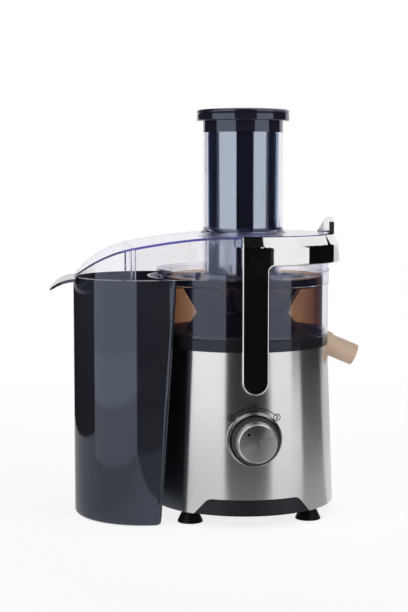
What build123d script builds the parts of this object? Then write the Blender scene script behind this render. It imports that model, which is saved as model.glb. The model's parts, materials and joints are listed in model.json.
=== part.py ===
from build123d import *
import math
import os

# Centrifugal juicer for whole fruit. Sizes are in millimetres and angles in degrees.
# The drive axis is Z and the counter is z = 0. The dial faces -Y, the juice spout +X,
# and the pulp container stands at -X.

# Heights of the pieces that stand on each other
FOOT_HEIGHT = 12.0
SHELL_HEIGHT = 158.0
COLLAR_HEIGHT = 11.5
BOWL_HEIGHT = 62.5
LID_HEIGHT = 37.0
CHUTE_RISE = 99.5

# Clearances
RUNNING_FIT = 0.05
SEAT_FIT = 0.2
MOVING_GAP = 0.5

# Steel shell with its arched lower edge
SHELL_BOTTOM_RADIUS = 91.8
SHELL_TOP_RADIUS = 85.7
SHEET = 0.8
ARCH_FOOT_WIDTH = 114.0
ARCH_TOP_WIDTH = 88.0
ARCH_HEIGHT = 16.0
ARCH_CORNER = 9.0

# Base plate
BASE_FLOOR = 3.0
BASE_WALL = 2.5
BASE_LAP = 12.0
VENT_COUNT = 12
VENT_WIDTH = 3.0
VENT_LENGTH = 20.0
VENT_CIRCLE = 26.0

# Suction feet
FOOT_INSET = 12.4
FOOT_ANGLE = 42.4
FOOT_RADIUS = 12.5
FOOT_NECK = 8.5
FOOT_LIP = 2.4
FOOT_CUP = 2.5
FOOT_STEM = 3.5

# Motor deck: black collar, deck plate and turret
COLLAR_STEP = 0.5
COLLAR_WALL = 5.0
COLLAR_ROUND = 1.2
DECK_PLATE = 3.5
DECK_WALL = 2.5
DECK_SPIGOT = 6.0
TURRET_HEIGHT = 14.5
WELL_RADIUS = 26.0
WELL_DEPTH = 12.0
COLUMN_INSET = 11.7
COLUMN_ANGLE = 22.0
COLUMN_RADIUS = 5.0

# Base screws
SCREW_RADIUS = 1.6
SCREW_HEAD = 3.6
SCREW_HEAD_HEIGHT = 1.4
SCREW_LENGTH = 18.0

# Juice bowl and its drain
BOWL_STEP = 1.0
BOWL_WALL = 2.8
BOWL_BAND = 13.0
BOWL_BAND_STEP = 0.7
BOWL_FLOOR = 3.0
LINER_GAP = 3.3
LINER_WALL = 2.2
WELL_FOOT_RADIUS = 58.0
WELL_TOP_RADIUS = 46.0
BOWL_WELL_WALL = 3.0
BOWL_WELL_RISE = 5.0
BOWL_EYE = 38.0
SPOUT_SLOPE = 23.0
SPOUT_DROP = 13.8
SPOUT_RADIUS = 11.0
SPOUT_WALL = 2.0
SPOUT_REACH = 28.0
STUB_WALL = 1.4
STUB_GAP = 2.5
STUB_PLUG = 8.0

# Clear lid: drum, pulp hood and stop lug
LID_INSET = 0.7
LID_WALL = 2.5
LID_FLANGE = 2.5
LID_SKIRT = 4.0
HOOD_KNEE_REACH = 15.0
HOOD_KNEE_DROP = 11.0
HOOD_STEP = 1.2
HOOD_RIB_RADIUS = 2.5
LUG_WIDTH = 6.2
LUG_HEIGHT = 9.5
LUG_REACH = 11.0

# Feed chute and pusher
CHUTE_BORE = 37.5
CHUTE_WALL = 2.5
CHUTE_SHOULDER = 6.0
CHUTE_ABOVE_GRATER = 6.0
PUSHER_TOP_RADIUS = 35.5
PUSHER_FOOT_RADIUS = 34.6
PUSHER_WALL = 2.2
PUSHER_COLLAR = 11.5
CAP_RADIUS = 46.4
CAP_SIDE = 11.0
CAP_DOME = 2.5
CAP_GROOVE = 1.0
CAP_BRIM_ROUND = 2.2
CAP_FOOT_ROUND = 1.4
CAP_PLUG = 8.0

# Pulp container with its lip handle
CONTAINER_SETBACK = 12.3
CONTAINER_INSET = 15.2
CONTAINER_WALL = 2.4
CONTAINER_GAP = 7.0
CONTAINER_LEAN = 15.0
CONTAINER_DROP = 5.5
CONTAINER_CORNER = 6.0
CONTAINER_FOOT_ROUND = 4.0
LIP_REACH = 26.0
LIP_DROP = 12.0
LIP_THICKNESS = 3.0
LIP_WIDTH = 76.0

# Locking arm with its thumb fin
ARM_GAP = 3.46
ARM_THICKNESS = 7.0
ARM_BAND_BASE = 9.0
ARM_BAND_HEIGHT = 18.0
ARM_BEVEL_HEIGHT = 9.5
ARM_LAND = 1.5
LEG_WIDTH = 26.0
LEG_FILLET = 5.0
ARM_KNEE = 3.0
ARM_ROUND = 1.8
FIN_HEIGHT = 16.0
FIN_THICKNESS = 5.0
FIN_SETBACK = 10.0
FIN_LENGTH = 33.0
FIN_CREST = 11.0
FIN_CORNER = 7.0

# Arm pivots and the safety interlock
PIVOT_DROP = 27.0
PIN_RADIUS = 5.0
PIN_COVER = 3.0
BUSH_RADIUS = 8.0
BUSH_FLANGE_RADIUS = 10.5
LUG_BLOCK = 10.0
LUG_BLOCK_WIDTH = 26.0
CAM_RADIUS = 13.0
CAM_FALL = 3.0
CAM_WIDTH = 5.0
ARM_TRAVEL = 85.0
PLUNGER_RADIUS = 2.0
PLUNGER_LENGTH = 10.0
PLUNGER_GAP = 0.3
SWITCH_BOX = (20.0, 6.0)

# Dial
KNOB_HEIGHT = 86.7
BEZEL_RADIUS = 26.7
BEZEL_BORE = 24.4
BEZEL_DEPTH = 5.5
BEZEL_EDGE = 2.0
KNOB_RADIUS = 23.4
KNOB_FRONT_RADIUS = 22.6
KNOB_DEPTH = 9.0
KNOB_WALL = 1.8
KNOB_FLUTES = 60
FLUTE_DEPTH = 0.5
KNOB_CAP_RADIUS = 20.4
KNOB_CAP_FACE_RADIUS = 18.8
KNOB_CAP_DEPTH = 12.0
KNOB_CAP_EDGE = 1.2
KNOB_DOME = 1.6
DOT_CIRCLE = 12.6
DOT_RADIUS = 1.2
SPINDLE_RADIUS = 3.0
SWITCH_BUSH_RADIUS = 5.0
SWITCH_NUT_RADIUS = 8.0
SWITCH_NUT_THICKNESS = 2.5
ROTARY_SWITCH = (26.0, 26.0, 18.0)

# Motor
SHAFT_RADIUS = 4.0
FAN_RADIUS = 38.0
FAN_BLADES = 11
FAN_BLADE_HEIGHT = 12.0
FAN_HEIGHT = 9.0
POST_OFFSET = 6.0
POST_RADIUS = 5.0
POST_HEIGHT = 31.0
DAMPER_HEIGHT = 4.0
BRACKET_THICKNESS = 4.0
BRACKET_ARM = 14.0
BEARING_RADIUS = 11.0
BEARING_WIDTH = 7.0
BEARING_CUP = 3.0
COMMUTATOR_RADIUS = 12.0
COMMUTATOR_LENGTH = 14.0
COMMUTATOR_BARS = 18
WINDING_OVERHANG = 8.0
STACK_HEIGHT = 38.0
ROTOR_RADIUS = 25.5
ROTOR_SLOTS = 12
SLOT_WIDTH = 4.0
SLOT_DEPTH = 9.0
AIR_GAP = 0.5
SHOE_THICKNESS = 3.5
SHOE_ANGLE = 104.0
POLE_WIDTH = 20.0
COIL_THICKNESS = 6.0
COIL_WIDTH = 7.0
YOKE_BORE = 41.0
YOKE_RADIUS = 48.0
BOLT_RADIUS = 2.0
BOLT_HEAD = 3.5
BOLT_HEAD_HEIGHT = 2.5
BRUSH_SECTION = (6.0, 9.0)
BRUSH_LENGTH = 16.0
HOLDER_WALL = 2.0
HOLDER_LENGTH = 20.0

# Control board and cord gland
BOARD_WIDTH = 60.0
BOARD_HEIGHT = 42.0
BOARD_THICKNESS = 1.6
BOARD_INSET = 25.8
RAIL_DEPTH = 3.0
RAIL_WALL = 2.0
RAIL_HEIGHT = 26.0
GLAND_RADIUS = 5.0
GLAND_FLANGE = 6.0
GLAND_BORE = 3.4
GLAND_HEIGHT = 9.5

# Drive coupling and filter basket
COUPLING_RADIUS = 11.0
COUPLING_LOBE = 2.6
COUPLING_LOBES = 6
COUPLING_HEIGHT = 13.0
SEAL_RADIUS = 9.0
SEAL_LIP = 2.0
BASKET_FOOT_RADIUS = 46.0
BASKET_TOP_RADIUS = 64.5
BASKET_HEIGHT = 32.0
BASKET_FLOOR = 2.5
BASKET_RIBS = 10
RIB_WIDTH = 3.0
RIB_DEPTH = 2.4
BASKET_RIM_GAP = 2.0
BASKET_RIM = 2.5
BASKET_LIP = 9.0
BASKET_CLEARANCE = 2.0
MESH = 0.6
HUB_WALL = 3.0
GRATER_THICKNESS = 1.4
GRATER_ROWS = 10
TEETH_PER_ROW = 5
TOOTH_HEIGHT = 1.6
TOOTH_LENGTH = 3.6
TOOTH_WIDTH = 1.8
TOOTH_PITCH = 6.0
GRATER_EYE = 11.0

# Levels that follow from the heights above
Z_SHELL = FOOT_HEIGHT
Z_COLLAR = Z_SHELL + SHELL_HEIGHT
Z_BOWL = Z_COLLAR + COLLAR_HEIGHT
Z_LID = Z_BOWL + BOWL_HEIGHT
Z_PLATEAU = Z_LID + LID_HEIGHT
Z_CHUTE = Z_PLATEAU + CHUTE_RISE
Z_RIM = Z_LID - CONTAINER_DROP
Z_HOOD = Z_RIM + MOVING_GAP
Z_FLOOR = Z_SHELL + BASE_FLOOR
Z_TURRET = Z_BOWL + TURRET_HEIGHT
Z_WELL = Z_TURRET - WELL_DEPTH
Z_BOWL_WELL = Z_TURRET + BOWL_WELL_RISE
Z_BASKET = Z_BOWL_WELL + BASKET_CLEARANCE
Z_GRATER = Z_BASKET + BASKET_FLOOR
Z_TEETH = Z_GRATER + GRATER_THICKNESS + TOOTH_HEIGHT
Z_CHUTE_FOOT = Z_TEETH + CHUTE_ABOVE_GRATER
Z_FAN = Z_FLOOR + FAN_HEIGHT
Z_DAMPER = Z_FLOOR + POST_HEIGHT
Z_BRACKET = Z_DAMPER + DAMPER_HEIGHT
Z_LOWER_BEARING = Z_BRACKET + BRACKET_THICKNESS - BEARING_CUP
Z_COMMUTATOR = Z_LOWER_BEARING + BEARING_WIDTH + 2 * MOVING_GAP
Z_STACK = Z_COMMUTATOR + COMMUTATOR_LENGTH + WINDING_OVERHANG + 2 * MOVING_GAP
Z_STACK_TOP = Z_STACK + STACK_HEIGHT
Z_TOP_BRACKET = Z_STACK_TOP + WINDING_OVERHANG + 4.0 * MOVING_GAP
Z_UPPER_BEARING = Z_TOP_BRACKET + BRACKET_THICKNESS - BEARING_CUP
PIVOT_HEIGHT = Z_COLLAR - PIVOT_DROP
SPOUT_HEIGHT = Z_BOWL - SPOUT_DROP

# Radii that follow from the body
BOWL_RADIUS = SHELL_TOP_RADIUS + BOWL_STEP
BOWL_BORE = BOWL_RADIUS - BOWL_WALL
LINER_RADIUS = BOWL_BORE - LINER_GAP
LINER_BORE = LINER_RADIUS - LINER_WALL
LID_RADIUS = BOWL_RADIUS - LID_INSET
CONTAINER_RADIUS = BOWL_RADIUS - CONTAINER_INSET
HOOD_RADIUS = CONTAINER_RADIUS
CHUTE_RADIUS = CHUTE_BORE + CHUTE_WALL
PIVOT_LEAN = (SHELL_BOTTOM_RADIUS - SHELL_TOP_RADIUS) * PIVOT_DROP / SHELL_HEIGHT
ARM_INNER = max(BOWL_RADIUS, SHELL_TOP_RADIUS + PIVOT_LEAN) + ARM_GAP
ARM_OUTER = ARM_INNER + ARM_THICKNESS
Z_BAND = Z_LID + ARM_BAND_BASE
Z_BEVEL = Z_BAND + ARM_BAND_HEIGHT
Z_ARM = Z_BEVEL + ARM_BEVEL_HEIGHT
Z_FIN = Z_ARM + FIN_HEIGHT
CONTAINER_OFFSET = BOWL_RADIUS + CONTAINER_SETBACK
CONTAINER_HOLLOW = BOWL_RADIUS + CONTAINER_GAP
HOOD_KNEE = CONTAINER_OFFSET + HOOD_KNEE_REACH
FOOT_CIRCLE = SHELL_BOTTOM_RADIUS - FOOT_INSET
COLUMN_CIRCLE = SHELL_TOP_RADIUS - COLUMN_INSET
BOARD_PLACE = SHELL_BOTTOM_RADIUS - BOARD_INSET
POST_CIRCLE = YOKE_RADIUS + POST_OFFSET
BASKET_RIM_RADIUS = LINER_BORE - BASKET_RIM_GAP
BRACKET_CIRCLE = (YOKE_BORE + YOKE_RADIUS) / 2
FAR = 2 * (CONTAINER_OFFSET + CONTAINER_RADIUS)
UP = (Align.CENTER, Align.CENTER, Align.MIN)


def turned(*corners):
    """A solid turned about the Z axis from its (radius, height) corners."""
    return revolve(Plane.XZ * make_face(Polyline(*corners, close=True)), Axis.Z)


def ring(outer, inner, low, high):
    """A plain ring about the Z axis."""
    return turned((inner, low), (outer, low), (outer, high), (inner, high))


def disc(radius, low, high):
    """A plain cylinder about the Z axis."""
    return Pos(0, 0, low) * Cylinder(radius, high - low, align=UP)


def around(count, radius, start=0.0):
    """Places on a circle about the Z axis, each turned to face outwards."""
    step = 360 / count
    return [Rot(0, 0, start + step * i) * Pos(radius, 0, 0) for i in range(count)]


def side_view(sketch, depth=FAR):
    """A drawing in X and Z pushed both ways through the body along Y."""
    return extrude(Plane.XZ * sketch, amount=depth, both=True)


def group(solids):
    """Like pieces that share one node."""
    return Compound(children=[part.solid() for part in solids])


def shell_radius(z):
    """Outer radius of the steel shell at a height."""
    share = (z - Z_SHELL) / SHELL_HEIGHT
    return SHELL_BOTTOM_RADIUS + share * (SHELL_TOP_RADIUS - SHELL_BOTTOM_RADIUS)


def inside_shell(z):
    """Radius that drops into the steel shell at a height."""
    return shell_radius(z) - SHEET - SEAT_FIT


# Places used by several pieces
FRONT = Location((0, 0, KNOB_HEIGHT), (90, 0, 0))
FRONT_PIVOT = Location((0, 0, PIVOT_HEIGHT), (90, 0, 0))
REAR_PIVOT = Location((0, 0, PIVOT_HEIGHT), (-90, 0, 0))
PIVOTS = (FRONT_PIVOT, REAR_PIVOT)
BLOCK_CORNER = inside_shell(Z_COLLAR)
BLOCK_FACE = math.sqrt(BLOCK_CORNER**2 - (LUG_BLOCK_WIDTH / 2) ** 2) - MOVING_GAP
DIAL_FACE = shell_radius(KNOB_HEIGHT)
SPOUT_ROOT = BOWL_RADIUS
SPOUT_LINE = Pos(SPOUT_ROOT, 0, SPOUT_HEIGHT) * Rot(0, 90 + SPOUT_SLOPE, 0)
COLUMN_ANGLES = (COLUMN_ANGLE, 180 - COLUMN_ANGLE, 180 + COLUMN_ANGLE, -COLUMN_ANGLE)
COLUMNS = [Rot(0, 0, angle) * Pos(COLUMN_CIRCLE, 0, 0) for angle in COLUMN_ANGLES]
FOOT_ANGLES = (FOOT_ANGLE, 180 - FOOT_ANGLE, 180 + FOOT_ANGLE, -FOOT_ANGLE)
FEET = [Rot(0, 0, angle) * Pos(FOOT_CIRCLE, 0, 0) for angle in FOOT_ANGLES]
POSTS = around(4, POST_CIRCLE, 45)
BOLTS = around(4, BRACKET_CIRCLE, 45)


def well_radius(z):
    """Outer radius of the cone that the bowl's floor rises to in its middle."""
    fall = (WELL_FOOT_RADIUS - WELL_TOP_RADIUS) / (Z_BOWL_WELL - Z_BOWL - BOWL_FLOOR)
    return WELL_TOP_RADIUS + fall * (Z_BOWL_WELL - z)


def turret_radius(z):
    """Radius of the turret at a height, clear of the bowl's cone over it."""
    return well_radius(z) - BOWL_WELL_WALL - MOVING_GAP


STUB_START = turret_radius(Z_BOWL) + STUB_GAP + STUB_WALL


def along_spout(radius, start, end):
    """A cylinder on the spout's axis, from start to end measured outwards in X."""
    near = (start - SPOUT_ROOT) / math.cos(math.radians(SPOUT_SLOPE))
    far = (end - SPOUT_ROOT) / math.cos(math.radians(SPOUT_SLOPE))
    return SPOUT_LINE * Pos(0, 0, near) * Cylinder(radius, far - near, align=UP)


def spout_notch():
    """Open-topped slot that lets the bowl's drain drop through the collar and the shell."""
    radius = SPOUT_RADIUS + STUB_WALL + RUNNING_FIT + MOVING_GAP
    slot = along_spout(radius, STUB_START - STUB_WALL - MOVING_GAP, SPOUT_ROOT + SPOUT_REACH)
    start = STUB_START - STUB_WALL - MOVING_GAP
    above = Box(FAR, 2 * radius, FAR, align=(Align.MIN, Align.CENTER, Align.MIN))
    tilt = Rot(0, SPOUT_SLOPE, 0)
    lift = SPOUT_HEIGHT + (SPOUT_ROOT - start) * math.tan(math.radians(SPOUT_SLOPE))
    return slot + Pos(start, 0, lift) * tilt * above


def steel_shell():
    """Rolled sheet cone with an arch in its lower edge, front and back."""
    inner_top = SHELL_TOP_RADIUS - SHEET
    inner_bottom = SHELL_BOTTOM_RADIUS - SHEET
    cone = turned(
        (SHELL_BOTTOM_RADIUS, Z_SHELL),
        (SHELL_TOP_RADIUS, Z_COLLAR),
        (inner_top, Z_COLLAR),
        (inner_bottom, Z_SHELL),
    )
    arch = make_face(
        Polyline(
            (-ARCH_FOOT_WIDTH / 2, Z_SHELL),
            (-ARCH_TOP_WIDTH / 2, Z_SHELL + ARCH_HEIGHT),
            (ARCH_TOP_WIDTH / 2, Z_SHELL + ARCH_HEIGHT),
            (ARCH_FOOT_WIDTH / 2, Z_SHELL),
            close=True,
        )
    )
    arch = fillet(arch.vertices().sort_by(Axis.Y)[-2:], ARCH_CORNER)
    cone -= side_view(arch)
    cone -= spout_notch()
    for pivot in PIVOTS:
        cone -= pivot * Cylinder(BUSH_RADIUS + SEAT_FIT, FAR, align=UP)
    cone -= FRONT * Cylinder(SWITCH_BUSH_RADIUS + SEAT_FIT, FAR, align=UP)
    return cone


def base_plate():
    """Moulded tray that closes the shell from below and carries the motor."""
    top = Z_SHELL + ARCH_HEIGHT + BASE_LAP
    tray = turned(
        (0, Z_SHELL),
        (inside_shell(Z_SHELL), Z_SHELL),
        (inside_shell(top), top),
        (inside_shell(top) - BASE_WALL, top),
        (inside_shell(Z_FLOOR) - BASE_WALL, Z_FLOOR),
        (0, Z_FLOOR),
    )
    for place in POSTS:
        tray += place * disc(POST_RADIUS, Z_SHELL, Z_DAMPER)
    rail_width = BOARD_THICKNESS + 2 * (SEAT_FIT + RAIL_WALL)
    rail_length = RAIL_DEPTH + RAIL_WALL
    for side in (-1, 1):
        middle = side * (BOARD_WIDTH / 2 + RAIL_WALL / 2 - RAIL_DEPTH / 2)
        tray += Pos(middle, BOARD_PLACE, Z_SHELL) * Box(
            rail_length, rail_width, BASE_FLOOR + RAIL_HEIGHT, align=UP
        )
    slot = Box(BOARD_WIDTH + 2 * SEAT_FIT, BOARD_THICKNESS + 2 * SEAT_FIT, FAR, align=UP)
    tray -= Pos(0, BOARD_PLACE, Z_FLOOR) * slot
    vent = Box(VENT_LENGTH, VENT_WIDTH, FAR)
    tray -= [place * vent for place in around(VENT_COUNT, VENT_CIRCLE)]
    for place in FEET:
        tray -= place * disc(FOOT_STEM + RUNNING_FIT, 0, Z_FLOOR)
    for place in COLUMNS:
        tray -= place * disc(SCREW_RADIUS + SEAT_FIT, 0, Z_FLOOR)
        tray -= place * disc(SCREW_HEAD + SEAT_FIT, 0, Z_SHELL + SCREW_HEAD_HEIGHT)
    gland = Pos(0, 0, Z_SHELL + GLAND_HEIGHT) * Rot(-90, 0, 0)
    tray -= gland * Cylinder(GLAND_RADIUS + RUNNING_FIT, FAR, align=UP)
    return tray


def suction_feet():
    """Flared rubber cups whose stems push into the base plate."""
    foot = turned(
        (0, FOOT_CUP),
        (FOOT_RADIUS - FOOT_LIP, 0),
        (FOOT_RADIUS, 0),
        (FOOT_RADIUS, FOOT_LIP / 2),
        (FOOT_NECK, FOOT_HEIGHT - FOOT_LIP),
        (FOOT_NECK, FOOT_HEIGHT),
        (FOOT_STEM, FOOT_HEIGHT),
        (FOOT_STEM, Z_FLOOR),
        (0, Z_FLOOR),
    )
    return group([place * foot for place in FEET])


def motor_deck():
    """Black moulding on top of the shell: collar, deck plate and a spigot inside the shell."""
    collar = SHELL_TOP_RADIUS + COLLAR_STEP
    spigot = inside_shell(Z_COLLAR)
    plate_top = Z_COLLAR + DECK_PLATE
    eye = turret_radius(Z_BOWL) - DECK_WALL
    deck = turned(
        (collar, Z_COLLAR),
        (collar, Z_BOWL),
        (collar - COLLAR_WALL, Z_BOWL),
        (collar - COLLAR_WALL, plate_top),
        (eye, plate_top),
        (eye, Z_COLLAR),
        (spigot - DECK_WALL, Z_COLLAR),
        (spigot - DECK_WALL, Z_COLLAR - DECK_SPIGOT),
        (spigot, Z_COLLAR - DECK_SPIGOT),
        (spigot, Z_COLLAR),
    )
    shelf = deck.edges().filter_by_position(Axis.Z, Z_BOWL - RUNNING_FIT, Z_BOWL + RUNNING_FIT)
    deck = fillet(shelf.sort_by(SortBy.LENGTH)[-1], COLLAR_ROUND)
    return deck - spout_notch()


def deck_turret():
    """Conical turret on the deck plate, with the well that the drive coupling turns in."""
    plate_top = Z_COLLAR + DECK_PLATE
    under = Z_TURRET - DECK_WALL
    bore = SEAL_RADIUS + RUNNING_FIT
    foot = turret_radius(Z_BOWL)
    crown = turret_radius(Z_TURRET)
    return turned(
        (foot, plate_top),
        (foot, Z_BOWL),
        (crown, Z_TURRET),
        (WELL_RADIUS, Z_TURRET),
        (WELL_RADIUS, Z_WELL),
        (bore, Z_WELL),
        (bore, Z_WELL - DECK_WALL),
        (WELL_RADIUS + DECK_WALL, Z_WELL - DECK_WALL),
        (WELL_RADIUS + DECK_WALL, under),
        (crown - DECK_WALL, under),
        (foot - DECK_WALL, Z_BOWL - DECK_WALL),
        (foot - DECK_WALL, plate_top),
    )


def deck_columns():
    """Long screw columns between the base plate and the deck plate."""
    column = disc(COLUMN_RADIUS, Z_FLOOR, Z_COLLAR)
    column -= disc(SCREW_RADIUS + RUNNING_FIT, Z_FLOOR, Z_FLOOR + SCREW_LENGTH)
    return group([place * column for place in COLUMNS])


def pivot_blocks():
    """Blocks under the deck plate that hold the bushes of the arm's pivots."""
    block_low = PIVOT_HEIGHT - LUG_BLOCK_WIDTH / 2
    block = Box(LUG_BLOCK_WIDTH, Z_COLLAR - block_low, LUG_BLOCK)
    rise = (Z_COLLAR - LUG_BLOCK_WIDTH / 2 - PIVOT_HEIGHT) / 2
    spigot = inside_shell(Z_COLLAR)
    rebate = ring(
        spigot + DECK_WALL,
        spigot - DECK_WALL - RUNNING_FIT,
        Z_COLLAR - DECK_SPIGOT - RUNNING_FIT,
        Z_COLLAR,
    )
    blocks = []
    for pivot in PIVOTS:
        up = 1 if pivot is FRONT_PIVOT else -1
        body = pivot * Pos(0, up * rise, BLOCK_FACE - LUG_BLOCK / 2) * block
        body -= pivot * Cylinder(BUSH_RADIUS + RUNNING_FIT, FAR, align=UP)
        blocks.append(body - rebate)
    return group(blocks)


def base_screws():
    """Screws that pull the base plate up against the deck's columns."""
    head = disc(SCREW_HEAD, Z_SHELL, Z_SHELL + SCREW_HEAD_HEIGHT)
    shank = disc(SCREW_RADIUS, Z_SHELL, Z_SHELL + SCREW_LENGTH)
    return group([place * (head + shank) for place in COLUMNS])


def cord_gland():
    """Rubber bush in the base plate's rear wall, where the supply lead would enter."""
    wall = inside_shell(Z_SHELL + GLAND_HEIGHT)
    bush = turned(
        (GLAND_BORE, wall - BASE_WALL - BASE_WALL),
        (GLAND_RADIUS, wall - BASE_WALL - BASE_WALL),
        (GLAND_RADIUS, wall + 2 * SEAT_FIT),
        (GLAND_FLANGE, wall + 2 * SEAT_FIT),
        (GLAND_RADIUS, wall + BASE_WALL),
        (GLAND_BORE, wall + BASE_WALL),
    )
    return Pos(0, 0, Z_SHELL + GLAND_HEIGHT) * Rot(-90, 0, 0) * bush


def control_board():
    """Speed control board standing in its rails, with a heat sink and a capacitor."""
    low = Z_FLOOR
    board = Pos(0, BOARD_PLACE, low) * Box(BOARD_WIDTH, BOARD_THICKNESS, BOARD_HEIGHT, align=UP)
    sink = Box(BOARD_WIDTH / 4, BOARD_THICKNESS * 5, BOARD_HEIGHT / 2, align=UP)
    board += Pos(-BOARD_WIDTH / 5, BOARD_PLACE - BOARD_THICKNESS * 3, low + BOARD_HEIGHT / 3) * sink
    can = Rot(90, 0, 0) * Cylinder(BOARD_WIDTH / 10, BOARD_THICKNESS * 8, align=UP)
    board += Pos(BOARD_WIDTH / 5, BOARD_PLACE, low + BOARD_HEIGHT / 2) * can
    return board


def drain_bore():
    """Bore of the drain, open to the bowl through its floor."""
    return along_spout(SPOUT_RADIUS + RUNNING_FIT, STUB_START, SPOUT_ROOT + 2 * STUB_WALL)


def juice_bowl():
    """Clear outer wall of the juice bowl, with a stepped band under the lid."""
    wall = BOWL_RADIUS - BOWL_BAND_STEP
    step = Z_LID - BOWL_BAND
    return turned(
        (BOWL_BORE, Z_BOWL),
        (wall, Z_BOWL),
        (wall, step),
        (BOWL_RADIUS, step + BOWL_BAND_STEP),
        (BOWL_RADIUS, Z_LID),
        (BOWL_BORE, Z_LID),
    )


def bowl_liner():
    """Smoke-brown inner wall that the juice runs down, standing on the floor below the lid's skirt."""
    top = Z_LID - LID_SKIRT - MOVING_GAP
    return ring(LINER_RADIUS, LINER_BORE, Z_BOWL + BOWL_FLOOR, top)


def bowl_floor():
    """Floor of the bowl, welded into its wall: it rises in a cone over the turret and has a drain hole."""
    floor = Z_BOWL + BOWL_FLOOR
    under = Z_BOWL_WELL - BOWL_WELL_WALL
    pan = turned(
        (well_radius(Z_BOWL) - BOWL_WELL_WALL, Z_BOWL),
        (BOWL_BORE - RUNNING_FIT, Z_BOWL),
        (BOWL_BORE - RUNNING_FIT, floor),
        (well_radius(floor), floor),
        (WELL_TOP_RADIUS, Z_BOWL_WELL),
        (BOWL_EYE, Z_BOWL_WELL),
        (BOWL_EYE, under),
        (well_radius(under) - BOWL_WELL_WALL, under),
    )
    return pan - drain_bore()


def bowl_drain():
    """Sloping drain tube under the bowl's floor, closed at its inner end."""
    radius = SPOUT_RADIUS + RUNNING_FIT + STUB_WALL
    tube = along_spout(radius, STUB_START - STUB_WALL, SPOUT_ROOT + STUB_WALL)
    return tube - disc(FAR, Z_BOWL, FAR) - drain_bore()


def juice_spout():
    """Pouring tube pushed into the bowl's drain."""
    start = SPOUT_ROOT - STUB_PLUG
    tube = along_spout(SPOUT_RADIUS, start, SPOUT_ROOT + SPOUT_REACH)
    return tube - along_spout(SPOUT_RADIUS - SPOUT_WALL, start - 1, SPOUT_ROOT + SPOUT_REACH + 1)


def lid_plan(inset):
    """The lid's outline from above: the drum, and the hood that runs over the container."""
    reach = HOOD_RADIUS - inset
    end = Pos(-CONTAINER_OFFSET, 0) * Circle(reach)
    run = Pos(-CONTAINER_OFFSET / 2, 0) * Rectangle(CONTAINER_OFFSET, 2 * reach)
    return Circle(LID_RADIUS - inset) + end + run


def lid_side(drop):
    """The lid's outline from the front, its top skin lowered by drop."""
    ridge = Z_PLATEAU - drop
    knee = (-HOOD_KNEE, ridge - HOOD_KNEE_DROP)
    toe = (-(CONTAINER_OFFSET + HOOD_RADIUS) + drop * math.sqrt(2), Z_HOOD)
    flat = Line((FAR, ridge), (0, ridge))
    slope = TangentArc((0, ridge), knee, tangent=(-1, 0))
    fall = TangentArc(knee, toe, tangent=slope % 1)
    close = Polyline(toe, (FAR, Z_HOOD), (FAR, ridge))
    return make_face(flat + slope + fall + close)


def lid_cover():
    """Clear lid: drum over the bowl, ribbed pulp hood over the container, flange and stop lug."""
    tall = Z_PLATEAU - Z_HOOD
    shoulder = Pos(-HOOD_KNEE - FAR / 2, 0) * Rectangle(FAR, FAR)
    full = lid_plan(0) - shoulder
    end = lid_plan(HOOD_STEP) & shoulder
    outside = extrude(Pos(0, 0, Z_HOOD) * (full + end), tall) & side_view(lid_side(0))
    hollow = extrude(Pos(0, 0, Z_HOOD) * lid_plan(LID_WALL + HOOD_STEP), tall)
    lid = outside - (hollow & side_view(lid_side(LID_WALL)))
    rib_line = math.sqrt((HOOD_RADIUS - LID_WALL - HOOD_STEP) ** 2 - HOOD_KNEE_REACH**2)
    for side in (-1, 1):
        rib = Pos(-HOOD_KNEE, side * rib_line, Z_HOOD) * Cylinder(HOOD_RIB_RADIUS, tall, align=UP)
        lid += rib & outside
    lid -= disc(BOWL_RADIUS + MOVING_GAP, Z_HOOD, Z_LID)
    skirt = BOWL_BORE - MOVING_GAP
    lid += turned(
        (skirt - LID_WALL, Z_LID - LID_SKIRT),
        (skirt, Z_LID - LID_SKIRT),
        (skirt, Z_LID),
        (BOWL_RADIUS + MOVING_GAP, Z_LID),
        (BOWL_RADIUS + MOVING_GAP, Z_LID + LID_FLANGE),
        (skirt - LID_WALL, Z_LID + LID_FLANGE),
    )
    lug_side = -LEG_WIDTH / 2 - MOVING_GAP
    lug = Box(LUG_WIDTH, LUG_REACH, LUG_HEIGHT, align=(Align.MAX, Align.MAX, Align.MAX))
    lid += Pos(lug_side, -LID_RADIUS + LID_WALL, Z_PLATEAU) * lug
    return lid - disc(CHUTE_RADIUS + RUNNING_FIT, Z_HOOD, FAR)


def feed_chute():
    """Clear tube through the lid down to the grater, with a coved shoulder on the plateau."""
    foot = Z_PLATEAU
    cove = CHUTE_SHOULDER
    bend = cove * (1 - math.sqrt(0.5))
    outline = (
        Polyline(
            (CHUTE_RADIUS + cove, foot),
            (CHUTE_RADIUS, foot),
            (CHUTE_RADIUS, Z_CHUTE_FOOT),
            (CHUTE_BORE, Z_CHUTE_FOOT),
            (CHUTE_BORE, Z_CHUTE),
            (CHUTE_RADIUS, Z_CHUTE),
            (CHUTE_RADIUS, foot + cove),
        )
        + ThreePointArc(
            (CHUTE_RADIUS, foot + cove),
            (CHUTE_RADIUS + bend, foot + bend),
            (CHUTE_RADIUS + cove, foot),
        )
    )
    return revolve(Plane.XZ * make_face(outline), Axis.Z)


def pusher_body():
    """Hollow food pusher with a closed foot and a collar that stops on the chute."""
    top = Z_CHUTE + MOVING_GAP + PUSHER_COLLAR
    foot = Z_CHUTE_FOOT
    inner_top = PUSHER_TOP_RADIUS - PUSHER_WALL
    inner_foot = PUSHER_FOOT_RADIUS - PUSHER_WALL
    return turned(
        (0, foot),
        (PUSHER_FOOT_RADIUS, foot),
        (PUSHER_TOP_RADIUS, Z_CHUTE + MOVING_GAP),
        (CHUTE_RADIUS, Z_CHUTE + MOVING_GAP),
        (CHUTE_RADIUS, top),
        (inner_top, top),
        (inner_foot, foot + PUSHER_WALL),
        (0, foot + PUSHER_WALL),
    )


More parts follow.
